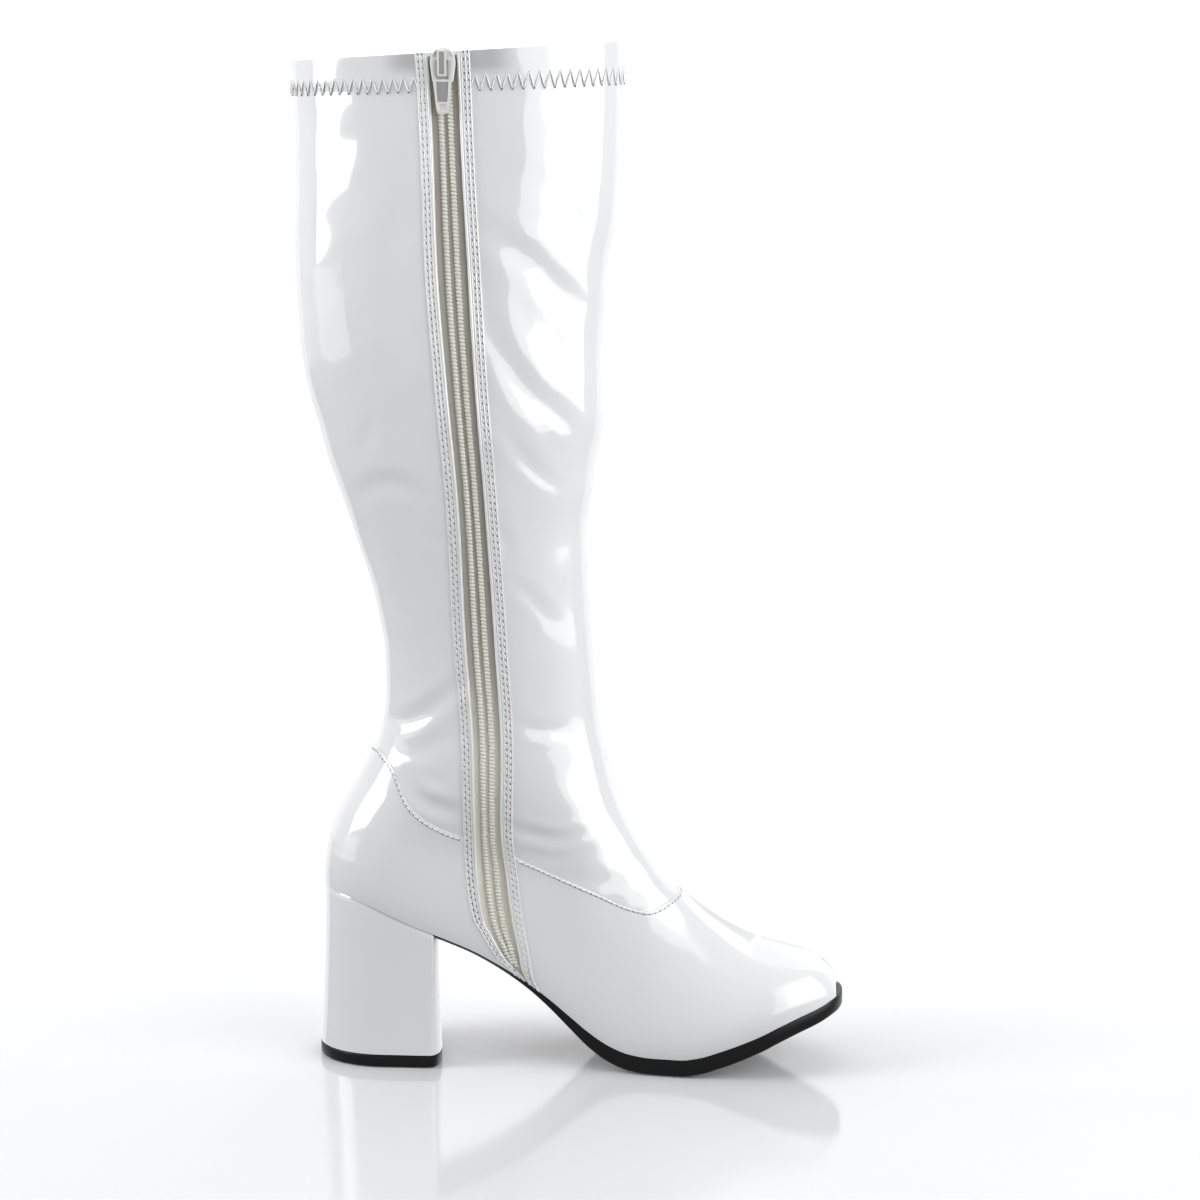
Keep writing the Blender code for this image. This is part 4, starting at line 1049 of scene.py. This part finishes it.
seam_rings = np.linspace(0.4, TOP_RING - 0.03, 600)
for side, edge in zip((-1, 1), zip_edges(seam_rings)):
    for inset in STITCH_INSETS:
        sew(seam_rings, turn_at(seam_rings, edge + side * inset), STITCH_LIFT, shade=0.00030)

SEAM_INSET = 0.0016
SEAM_DASH = 0.22
STEP_DOWN = 0.3          # a step of rings below the seam, to find its slope
for grid_ring, grid_turn, keep in ((vamp_ring, vamp_turn, slice(4, None)),
                                   (counter_ring, counter_turn, slice(None, -4))):
    top_ring, top_turn = grid_ring[-1], grid_turn[-1]
    drop = np.linalg.norm(skin(top_ring, top_turn) - skin(top_ring - STEP_DOWN, top_turn), axis=1)
    inset_ring = top_ring - STEP_DOWN * SEAM_INSET / np.maximum(drop, 1e-6)
    sew(inset_ring[keep], top_turn[keep], SEAM_LIFT, SEAM_PITCH, dash=SEAM_DASH)

join_rings = np.linspace(0.5, vamp_ring[-1, -1] - 0.4, 60)
join_x = HEEL_BACK + OUTER_JOIN * FOOT_LENGTH + SEAM_INSET
sew(join_rings, 2.0 - turn_at(join_rings, join_x), SEAM_LIFT, SEAM_PITCH, dash=SEAM_DASH)

# %% [markdown]
# ### Zigzag at the hem
# The hem is held by a zigzag that can stretch with the leg. Every leg of it is one long bead
# between two needle places, with a bead of painted shade on its lower side and a dark bead of
# painted shade for the needle hole at each low corner.

# %% Zigzag
ZIGZAG_PITCH = 0.0047
ZIGZAG_LIFT = 0.00048
ZIGZAG_LOW = HEM_RING + 0.01
ZIGZAG_HIGH = ZIGZAG_LOW + (0.0068 / 0.0158) * 1.15
zig_turn = hem_turns[0]
zig_length = path_length(skin(HEM_RING, zig_turn))
count = int(zig_length[-1] / ZIGZAG_PITCH)
for k in range(count):
    first, top, last = (np.interp((k + part) * zig_length[-1] / count, zig_length, zig_turn)
                        for part in (0.0, 0.5, 1.0))
    for ring_ends_here, turn_ends in (((ZIGZAG_LOW, ZIGZAG_HIGH), (first, top)),
                                      ((ZIGZAG_HIGH, ZIGZAG_LOW), (top, last))):
        places, normals = dressed(np.linspace(*ring_ends_here, 5), np.linspace(*turn_ends, 5), ZIGZAG_LIFT)
        place, way, normal = resample(places, normals, 0.1)
        length = np.linalg.norm(places[-1] - places[0])
        thread_rows.append((place, way, normal, 0.52 * length, 0.00034, 0.00036))
        beside = np.cross(normal, way)
        low_side = -np.sign(beside[:, 2:3]) * beside
        shade_rows.append((place + low_side * 0.00017, way, normal, 0.50 * length, 0.00034, 0.00010))
        if turn_ends[0] == first:
            hole_shadow_rows.append((places[:1], way, normal, 0.00034, 0.00034, 0.00028))

scatter("stitches", thread_rows, white_thread, "white_patent")
scatter("stitch_shades", shade_rows, seam_shade, "white_patent")
scatter("needle_hole_shadows", hole_shadow_rows, needle_shadow, "white_patent")

# %% [markdown]
# ## Outsole
# The outsole is one black moulding that thins to an edge at the waist. Its outline is laid at
# several levels as rings that run out by the inner side and back by the outer one, and the
# last rows shrink to the middle line to cap it. The heel, lift and insole are made so too.

# %% Outsole
CAP_STEPS = (0.8, 0.5, 0.2, 0.0)
SOLE_MARGIN = 0.0010
SOLE_TUCK = 0.0026       # how far the waist's bottom is tucked in
SOLE_LEVELS = (          # inset and level of each ring, 0 at the top and 1 at the bottom
    (0.0006, 0.0), (0.0002, 0.02), (0.0, 0.10), (0.0, 0.5), (0.0, 0.80), (0.0004, 0.93), (0.0012, 1.0))


def capped(rings):
    """Rings with rows added at both ends that close them on their middle line."""
    def shrunk(ring, share):
        middle = 0.5 * (ring + ring[::-1])
        return middle + (ring - middle) * share

    start = [shrunk(rings[0], share) for share in reversed(CAP_STEPS)]
    end = [shrunk(rings[-1], share) for share in CAP_STEPS]
    return np.array(start + rings + end)


def closed_piece(name, rings, material, slot, node, angle=40):
    obj = laid_grid(name, capped(rings), closed=True)
    face_out(obj, 2 * MERGE)
    return dress(obj, material, slot, node, angle=angle)


def there_and_back(inner, outer):
    return np.concatenate([inner, outer[::-1][1:]])


def sole_ring(inset, level, count=130):
    """Outline of the sole, inset from its edge, at a level of its thickness."""
    first = HEEL_BREAST + GAP + 0.0002
    last = HEEL_BACK + FOOT_LENGTH * TOE_TIP + SOLE_MARGIN
    t = np.linspace(0.0, 1.0, count)
    x = first + inset * 0.3 + (last - inset - first - inset * 0.3) * np.sin(0.5 * np.pi * t)
    share = share_along(x)
    margin = SOLE_MARGIN * ease((share - 0.35) / 0.25) - inset
    tuck = level * SOLE_TUCK * (1.0 - ease((share - 0.34) / 0.18))
    tip = share_along(last - inset)
    rows = []
    for side in (-1, 1):
        round_off = closing(tip - share, TOE_ROUND * 0.25, 2.0)
        width = feather_width(x, side, tip=tip) + (margin - tuck) * round_off
        z = seat_z(x) - level * sole_thickness(x)
        rows.append(np.stack([x, side * np.maximum(width, 0.0), z], axis=1))
    return there_and_back(*rows)


sole_rings = [sole_ring(inset, level) for inset, level in SOLE_LEVELS]
closed_piece("boot_outsole", sole_rings, sole_black, "sole_rubber", "outsole")

# %% [markdown]
# ## Heel
# A block under the same patent as the leg, with a round back and a front face, the breast,
# that stands askew: its inner corner reaches forward. It flares a little toward the ground,
# most of it at the back, and its front corners grow rounder there.

# %% Heel
HEEL_PROFILE = np.array((    # share of the height, flare, share of the width
    (0.00, 1.00, 1.000), (0.10, 0.80, 0.988), (0.25, 0.56, 0.972), (0.45, 0.34, 0.958),
    (0.65, 0.17, 0.950), (0.85, 0.05, 0.948), (1.00, 0.00, 0.946),
))
FLARE_BACK, FLARE_FRONT = 0.0032, 0.0008
HEEL_SKEW, FOOT_SKEW = 0.125, 0.065
HEEL_CORNER, FOOT_CORNER = 0.0034, 0.0046
HEEL_LOW = LIFT_THICKNESS + GAP
HEEL_LEVELS = (          # share of the height and inset of each ring
    (0.0, 0.0006), (0.004, 0.0), *((share, 0.0) for share in np.linspace(0.03, 0.985, 26)), (1.0, 0.0004))


def heel_ring(share, inset=0.0, count=80):
    """Outline of the heel at a share of its height, 0 at the foot; its z is left at 0."""
    flare = spline(HEEL_PROFILE[:, 0], HEEL_PROFILE[:, 1], share)
    width = 0.5 * HEEL_WIDTH * spline(HEEL_PROFILE[:, 0], HEEL_PROFILE[:, 2], share) - inset
    back = HEEL_BACK - flare * FLARE_BACK + inset
    front = HEEL_BREAST + flare * FLARE_FRONT - inset
    t = np.linspace(0.0, 1.0, count)
    x = back + (front - back) * 0.5 * (1 - np.cos(np.pi * t))
    corner = HEEL_CORNER + FOOT_CORNER * flare
    half = width * closing(x - back, HEEL_ROUND * FOOT_LENGTH, 2.0) * closing(front - x, corner, 2.6)
    lean = (HEEL_SKEW + FOOT_SKEW * flare) * half * ((x - back) / (front - back)) ** 2
    inner = np.stack([x + lean, -half, x * 0], axis=1)
    outer = np.stack([x - lean, half, x * 0], axis=1)
    return there_and_back(inner, outer)


heel_rings = []
for share, inset in HEEL_LEVELS:
    ring = heel_ring(share, inset)
    ring[:, 2] = HEEL_LOW + (seat_z(ring[:, 0]) - HEEL_LOW) * share
    heel_rings.append(ring)
closed_piece("boot_heel", heel_rings, heel_patent, "heel_cover", "heel", angle=50)

# %% [markdown]
# ### Heel lift
# The black top piece that takes the wear has the outline of the heel's foot. It is as thick
# all over, with its lower edge worn round.

# %% Heel lift
LIFT_LEVELS = (          # height and inset of each ring
    (0.0, 0.0007), (0.0003, 0.0002), (0.0008, 0.0),
    (LIFT_THICKNESS - 0.0004, 0.0), (LIFT_THICKNESS, 0.0003))
lift_rings = []
for z, inset in LIFT_LEVELS:
    ring = heel_ring(0.0, inset)
    ring[:, 2] = z
    lift_rings.append(ring)
closed_piece("boot_heel_lift", lift_rings, lift_black, "lift_rubber", "heel_lift")

# %% [markdown]
# ## Insole
# The board under the foot, covered with lining cloth. It is seen only from above, through
# the collar, and lies inside the wall of the upper on the seat line.

# %% Insole
INSOLE_THICKNESS = 0.0021
INSOLE_WALL = 0.0031     # room for the wall of the upper round the insole
INSOLE_FIRST = HEEL_BACK + INSOLE_WALL + 0.0004
INSOLE_LAST = HEEL_BACK + 0.9967 * FOOT_LENGTH - INSOLE_WALL - 0.0040
INSOLE_LEVELS = (        # inset and height of each ring
    (0.0006, 0.0), (0.0, 0.0004), (0.0, 0.0014), (0.0005, 0.0019), (0.0014, INSOLE_THICKNESS))


def insole_ring(inset, lift, count=110):
    way = 0.5 * (1.0 - np.cos(np.pi * np.linspace(0.0, 1.0, count)))
    x = INSOLE_FIRST + inset + (INSOLE_LAST - INSOLE_FIRST - 2.0 * inset) * way
    rows = []
    for side in (-1, 1):
        wide = feather_width(x, side, back=HEEL_BACK + INSOLE_WALL, tip=share_along(INSOLE_LAST) + 0.002)
        width = np.minimum(wide, feather_width(x, side) - INSOLE_WALL) - inset
        rows.append(np.stack([x, side * np.maximum(width, 0.0), seat_z(x) + GAP + lift], axis=1))
    return there_and_back(*rows)


insole_rings = [insole_ring(inset, lift) for inset, lift in INSOLE_LEVELS]
closed_piece("insole_sock", insole_rings, lining_white, "insole_cloth", "insole")

# %% [markdown]
# ## The zip
# A nylon coil zip: a woven tape behind the gap and two coils that close on each other. Each
# coil is a row of small loops laid across the line, set so close that they read as a ribbed
# cord. The slider sits at the collar with its bridge, and the pull tab hangs from it.

# %% Tape and coils
TAPE_HIDDEN = 0.0035     # width of the tape behind each facing
TAPE_DEPTH, COIL_DEPTH = 0.0020, 0.0011
TAPE_THICKNESS = 0.0006
COIL_PITCH = 0.0044      # between the middles of the two coils
TOOTH_PITCH = 0.00165
TOOTH_SLANT = 0.30


def zip_points(ring, across, lift):
    """Points beside the zip's middle line, lifted off the skin."""
    rear, front = zip_edges(ring)
    return dressed(ring, turn_at(ring, 0.5 * (rear + front) + across), lift)


def shallow(ring):
    """1 at the foot, where tape and coils lie nearer to the skin, and 0 on the leg."""
    return 1.0 - ease((ring - 16.0) / 6.0)


tape_rings = np.linspace(0.35, TOP_RING - 0.1, 160)
rear, front = zip_edges(tape_rings)
tape_half = 0.5 * (front - rear) + TAPE_HIDDEN
tape_lift = 0.0007 * shallow(tape_rings) - TAPE_DEPTH
tape_rows = [zip_points(tape_rings, part * tape_half, tape_lift)[0] for part in np.linspace(-1.0, 1.0, 15)]
tape = sheet("woven_tape", np.stack(tape_rows, axis=1), (75, 7), np.array([0.0, -1.0, 0.0]), TAPE_THICKNESS)
dress(tape, tape_ivory, "tape_cloth", "zip_tape")

slider_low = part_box("zip_slider")[0].z
coil_rings = np.linspace(0.9, TOP_RING, 900)
rear, front = zip_edges(coil_rings)
coil_share = np.clip((front - rear) / ZIP_GAP, 0.15, 1.0)
coil_lift = 0.0004 * shallow(coil_rings) - COIL_DEPTH
for name, side in (("rear", -1), ("front", 1)):
    places, normals = zip_points(coil_rings, side * 0.5 * COIL_PITCH * coil_share, coil_lift)
    keep = places[:, 2] < slider_low - 0.0004
    place, way, normal = resample(places[keep], normals[keep], TOOTH_PITCH)
    slant = unit(np.cross(normal, way) + TOOTH_SLANT * way)
    rows = [(place, slant, normal, 0.00145, 0.62 * TOOTH_PITCH, 0.00080),
            (place - normal * 0.0003, way, normal, 0.9 * TOOTH_PITCH, 0.0009, 0.00045)]
    scatter("coil_" + name, rows, coil_ivory, "coil_plastic", "zip_coil_" + name)

# %% [markdown]
# ### Slider and pull
# A die-cast slider under ivory paint. Its body is a rounded plate that widens at the
# shoulders; the bridge is a bar bent over it, and the pull's window hangs on the bridge. Each
# is an outline made solid, with small bevels so that every edge shows its own light line.

# %% Slider
SLIDER_WIDTH, SLIDER_LENGTH, SLIDER_THICKNESS = 0.0116, 0.0150, 0.0030
BRIDGE_WIDTH, BRIDGE_BAR = 0.0040, 0.0012
BRIDGE_ROOM = 0.0008     # play of the pull under the bridge, both sides together
PULL_LENGTH, PULL_WIDTH, PULL_TIP_WIDTH, PULL_THICKNESS = 0.0235, 0.0100, 0.0054, 0.0014
PULL_KNUCKLE = 0.0007    # half height of the pull's top bar


def middle_of(box):
    low, high = box
    return Vector((0.5 * (low.x + high.x), 0.5 * (low.y + high.y), 0.5 * (low.z + high.z)))


slider_middle = middle_of(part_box("zip_slider"))
slider_middle.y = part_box("zip_slider")[1].y
hinge = middle_of(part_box("zip_pull"))
hinge.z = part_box("zip_pull")[1].z - PULL_KNUCKLE


def solid(name, places, way):
    """A flat outline, filled and drawn out along a way."""
    choose_none()
    bpy.ops.mesh.primitive_circle_add(vertices=len(places), radius=1.0, fill_type="NGON")
    obj = bpy.context.object
    obj.name = name
    for vertex, place in zip(obj.data.vertices, places):
        vertex.co = place
    bpy.ops.object.mode_set(mode="EDIT")
    bpy.ops.mesh.select_all(action="SELECT")
    bpy.ops.mesh.extrude_region_move(TRANSFORM_OT_translate={"value": way})
    bpy.ops.mesh.select_all(action="SELECT")
    bpy.ops.mesh.normals_make_consistent(inside=False)
    bpy.ops.object.mode_set(mode="OBJECT")
    return obj


def rounded(corners, radius, steps=5):
    """An outline with each corner turned into an arc-like run of points."""
    points = []
    count = len(corners)
    for k in range(count):
        before, here, after = (Vector(corners[(k + d) % count]) for d in (-1, 0, 1))
        near = min(radius, 0.45 * (before - here).length, 0.45 * (after - here).length)
        start = here + (before - here).normalized() * near
        end = here + (after - here).normalized() * near
        for step in range(steps + 1):
            t = step / steps
            points.append(tuple(start * (1 - t) ** 2 + here * 2 * t * (1 - t) + end * t ** 2))
    return points


def plate(name, left, radius, back, front):
    """A plate between two y places; left is one half of its outline, the other mirrors it."""
    corners = list(left) + [(-x, z) for x, z in reversed(left)]
    places = [(x, back, z) for x, z in rounded(corners, radius)]
    return solid(name, places, (0.0, front - back, 0.0))


def cut(obj, cutter, operation="DIFFERENCE"):
    make_active(obj)
    change = obj.modifiers.new("cut", "BOOLEAN")
    change.operation = operation
    change.solver = "EXACT"
    change.object = cutter
    bpy.ops.object.modifier_apply(modifier="cut")
    bpy.data.objects.remove(cutter)


def bevel(obj, width, segments=2):
    make_active(obj)
    edge = obj.modifiers.new("edge", "BEVEL")
    edge.width = width
    edge.segments = segments
    edge.limit_method = "ANGLE"
    edge.angle_limit = math.radians(35.0)
    bpy.ops.object.modifier_apply(modifier="edge")


def hang(obj, middle, material, *nodes, body="boot"):
    """Move a small metal part to its place and dress it."""
    obj.location = middle
    make_active(obj)
    bpy.ops.object.transform_apply(location=True, rotation=True, scale=True)
    return dress(obj, material, "slider_metal", *nodes, body=body, angle=35)


half = 0.5 * SLIDER_WIDTH
long = 0.5 * SLIDER_LENGTH
face = -GAP - SLIDER_THICKNESS       # y of the slider's front
slider = plate("slider", ((-0.42 * half, long), (-0.86 * half, 0.66 * long), (-half, 0.22 * long),
                          (-0.78 * half, -0.92 * long), (-0.62 * half, -long)), 0.0016, face, -GAP)
bevel(slider, 0.0005, 3)
cut(slider, plate("slider_groove", ((-0.62 * half, 0.80 * long), (-0.78 * half, 0.2 * long),
                                    (-0.58 * half, -0.86 * long)), 0.0012,
                  -SLIDER_THICKNESS - 0.0010, -SLIDER_THICKNESS + 0.0001))
reach = GAP - face + PULL_THICKNESS + BRIDGE_ROOM
high, low = 0.92 * long, -0.62 * long
bar_half = 0.5 * BRIDGE_WIDTH
deep = GAP + 0.5 * SLIDER_THICKNESS
side_view = rounded([(high, deep), (high, reach + BRIDGE_BAR), (low, reach + BRIDGE_BAR), (low, deep),
                     (low + BRIDGE_BAR, deep), (low + BRIDGE_BAR, reach), (high - BRIDGE_BAR, reach),
                     (high - BRIDGE_BAR, deep)], 0.0006, 3)
bridge = solid("bridge", [(-bar_half, -y, z) for z, y in side_view], (BRIDGE_WIDTH, 0.0, 0.0))
bridge_front = -reach - BRIDGE_BAR
cut(bridge, plate("bridge_panel", ((-bar_half + 0.0009, high - 0.0010), (-bar_half + 0.0009, low + 0.0010)),
                  0.0005, bridge_front - 0.0010, bridge_front + 0.0004))
cut(slider, bridge, "UNION")
bevel(slider, 0.00018, 2)
hang(slider, slider_middle, slider_paint, "zip_slider")
# A grey plate of painted shade in the bridge's sunk panel.
recess_shade_left = 0.0010 - bar_half
bridge_recess_shade = plate("bridge_recess_shade", ((recess_shade_left, high - 0.0011), (recess_shade_left, low + 0.0011)),
                     0.0005, bridge_front + 0.0001, bridge_front + 0.0006)
hang(bridge_recess_shade, slider_middle, recess_shade_grey)

# %% [markdown]
# ### Pull tab
# The tab tapers from a wide top, whose window goes round the bridge, to a narrow tip. Its
# front has a sunk field round the window and a long recess, cut like the die's own steps; a
# grey plate of painted shade lies in the recess. It rides on its own body, because it swings
# on the bridge.

# %% Pull tab
wide, tip = 0.5 * PULL_WIDTH, 0.5 * PULL_TIP_WIDTH
thick = 0.5 * PULL_THICKNESS
THROUGH = 0.004          # more than any piece here is thick
window_half = bar_half + 0.0007
window_low = -(0.62 * long + 0.0030 + 0.0012)
field_top = window_low - 0.0012
recess_low = -0.79 * PULL_LENGTH
PULL_SIDE = ((-wide + 0.0006, PULL_KNUCKLE), (-wide, -0.0012), (-0.80 * wide, -0.42 * PULL_LENGTH),
             (-tip, -0.93 * PULL_LENGTH), (-0.80 * tip, -PULL_LENGTH))
pull = plate("pull_tab", PULL_SIDE, 0.0012, -thick, thick)
PULL_CUTS = (            # name, left half of the outline, radius, y where the cut ends
    ("window", ((-window_half, -PULL_KNUCKLE), (-window_half, window_low)), 0.0006, THROUGH),
    ("upper_field", ((-wide + 0.0012, -0.0016), (-0.80 * wide + 0.0010, window_low - 0.0006)),
     0.0006, -thick + 0.00025),
    ("long_recess", ((-0.0027, field_top), (-0.0021, recess_low)), 0.0005, -thick + 0.00065),
    ("tip_recess", ((-0.0017, -0.83 * PULL_LENGTH), (-0.0015, -0.945 * PULL_LENGTH)),
     0.0005, -thick + 0.0005),
)
for name, left, radius, end in PULL_CUTS:
    cut(pull, plate(name, left, radius, -THROUGH, end))
# A grey plate of painted shade in the long recess.
recess_shade = plate("pull_recess_shade", ((-0.0026, field_top - 0.0001), (-0.0020, recess_low + 0.0001)),
              0.0005, -thick + 0.00035, -thick + 0.0008)
hang(recess_shade, hinge, recess_shade_grey, body="pull")
bevel(pull, 0.00016, 2)
hang(pull, hinge, slider_paint, "zip_pull", body="pull")

# %% [markdown]
# ## Studio
# A white table in front of a lit white wall, with softboxes on both sides. Reflections pass
# both of these by and meet a duller sheet behind the wall, so the boot keeps grey edges. Patent
# shows its lights as shapes, so their places matter. The left box, rolled a little, draws the
# streak on the back of the calf. The right one, which starts close beside the camera and has a
# brighter core, draws the broad patch on its front. The left box stops well above the floor, so
# heel and counter mirror the dim room and stay greyer, and weak low and side boxes there light
# only their rear edge. One large light overhead softens the shadow on the table.

# %% Table, wall and world
def studio_finish(name, level, roughness, glow):
    finish = Finish(name, Roughness=roughness, Emission_Strength=glow)
    finish.shader.inputs["Emission Color"].default_value = (1.0, 1.0, 1.0, 1.0)
    finish.feed(Base_Color=finish.blend_colours(
        finish.noise(3.0), (level * 0.99, level * 0.99, level, 1.0), (level, level, level, 1.0)))
    return finish.material


def studio_plane(name, centre, width, depth, tilt, material, hidden_from=()):
    """A plane of the studio; hidden_from names the kinds of rays that don't see it."""
    choose_none()
    bpy.ops.mesh.primitive_plane_add(size=1.0)
    plane = bpy.context.object
    plane.name = name
    plane.scale = (width, depth, 1.0)
    plane.rotation_euler = (tilt, 0.0, 0.0)
    plane.location = centre
    bpy.ops.object.transform_apply(location=True, rotation=True, scale=True)
    plane.data.materials.append(material)
    for ray in hidden_from:
        setattr(plane, "visible_" + ray, False)


TABLE_FRONT, WALL_PLACE = -0.30, 1.9
TABLE_GLOW = 0.40        # reached far behind the boot, so the table melts into the wall
WORLD_LIGHT = 0.36
UPRIGHT = math.radians(90.0)
table_finish = Finish("table_white", Roughness=0.10, Emission_Strength=1.0)
glow = table_finish.ranged(table_finish.axis(1), -0.05, 0.5, 0.0, TABLE_GLOW, "LINEAR")
table_finish.feed(Emission_Color=table_finish.blend_colours(
    glow, (0.0, 0.0, 0.0, 1.0), (1.0, 1.0, 1.0, 1.0)))
table_finish.feed(Base_Color=table_finish.blend_colours(
    table_finish.noise(3.0), (0.710, 0.715, 0.735, 1.0), (0.720, 0.725, 0.745, 1.0)))
studio_plane("studio_table", (0.1, 0.5 * (TABLE_FRONT + WALL_PLACE), -0.0002), 6.0,
             WALL_PLACE - TABLE_FRONT, 0.0, table_finish.material, ("diffuse", "glossy"))
studio_plane("studio_wall", (0.1, WALL_PLACE, 1.5), 6.0, 3.1, UPRIGHT,
             studio_finish("wall_white", 0.85, 0.6, 1.0), ("diffuse", "glossy", "shadow"))
studio_plane("studio_sheet", (0.1, WALL_PLACE + 0.1, 0.0), 6.0, 6.0, UPRIGHT,
             studio_finish("sheet_white", 0.80, 0.8, 0.62), ("camera",))

world = bpy.data.worlds.new("studio")
bpy.context.scene.world = world
world.use_nodes = True
background = world.node_tree.nodes["Background"]
background.inputs["Color"].default_value = (1.0, 1.0, 1.0, 1.0)
background.inputs["Strength"].default_value = WORLD_LIGHT
print("table, wall and world ready")

# %% Lights
def area_light(name, width, height, radiance):
    """A rectangle of light that is equally bright whatever its size."""
    light = bpy.data.lights.new(name, "AREA")
    light.shape = "RECTANGLE"
    light.size = width
    light.size_y = height
    light.energy = radiance * math.pi * width * height
    obj = bpy.data.objects.new(name, light)
    bpy.context.scene.collection.objects.link(obj)
    return obj


def softbox(name, first_angle, last_angle, distance, low, high, radiance, roll):
    """A tall softbox round the boot; angles run from the camera side, right positive, and
    roll turns the box in its own plane."""
    ends = [Vector((0.06 + distance * math.sin(math.radians(angle)),
                    -distance * math.cos(math.radians(angle)), 0.0)) for angle in (first_angle, last_angle)]
    obj = area_light(name, (ends[1] - ends[0]).length, high - low, radiance)
    middle = 0.5 * (ends[0] + ends[1])
    middle.z = 0.5 * (low + high)
    obj.location = middle
    way = Vector((0.06, 0.0, middle.z)) - middle
    turned = way.to_track_quat("-Z", "Y") @ Euler((0.0, 0.0, math.radians(roll))).to_quaternion()
    obj.rotation_euler = turned.to_euler()


SOFTBOXES = (            # name, angles, distance, low and high edge, brightness, roll
    ("left_box", -60.0, -89.0, 1.5, 0.33, 1.7, 6.5, 10.0),
    ("left_low", -60.0, -89.0, 1.5, 0.0, 0.26, 1.0, 0.0),
    ("left_side", -89.0, -125.0, 1.5, 0.0, 1.6, 0.45, 0.0),
    ("right_box", 26.0, 92.0, 1.5, 0.02, 1.5, 1.7, 0.0),
    ("right_core", 42.0, 92.0, 1.45, 0.10, 1.4, 1.6, 0.0),
)
for box in SOFTBOXES:
    softbox(*box)
overhead = area_light("overhead", 2.0, 1.6, 1.1)
overhead.location = (0.1, 0.5, 2.5)
print("lights:", len(SOFTBOXES) + 1)
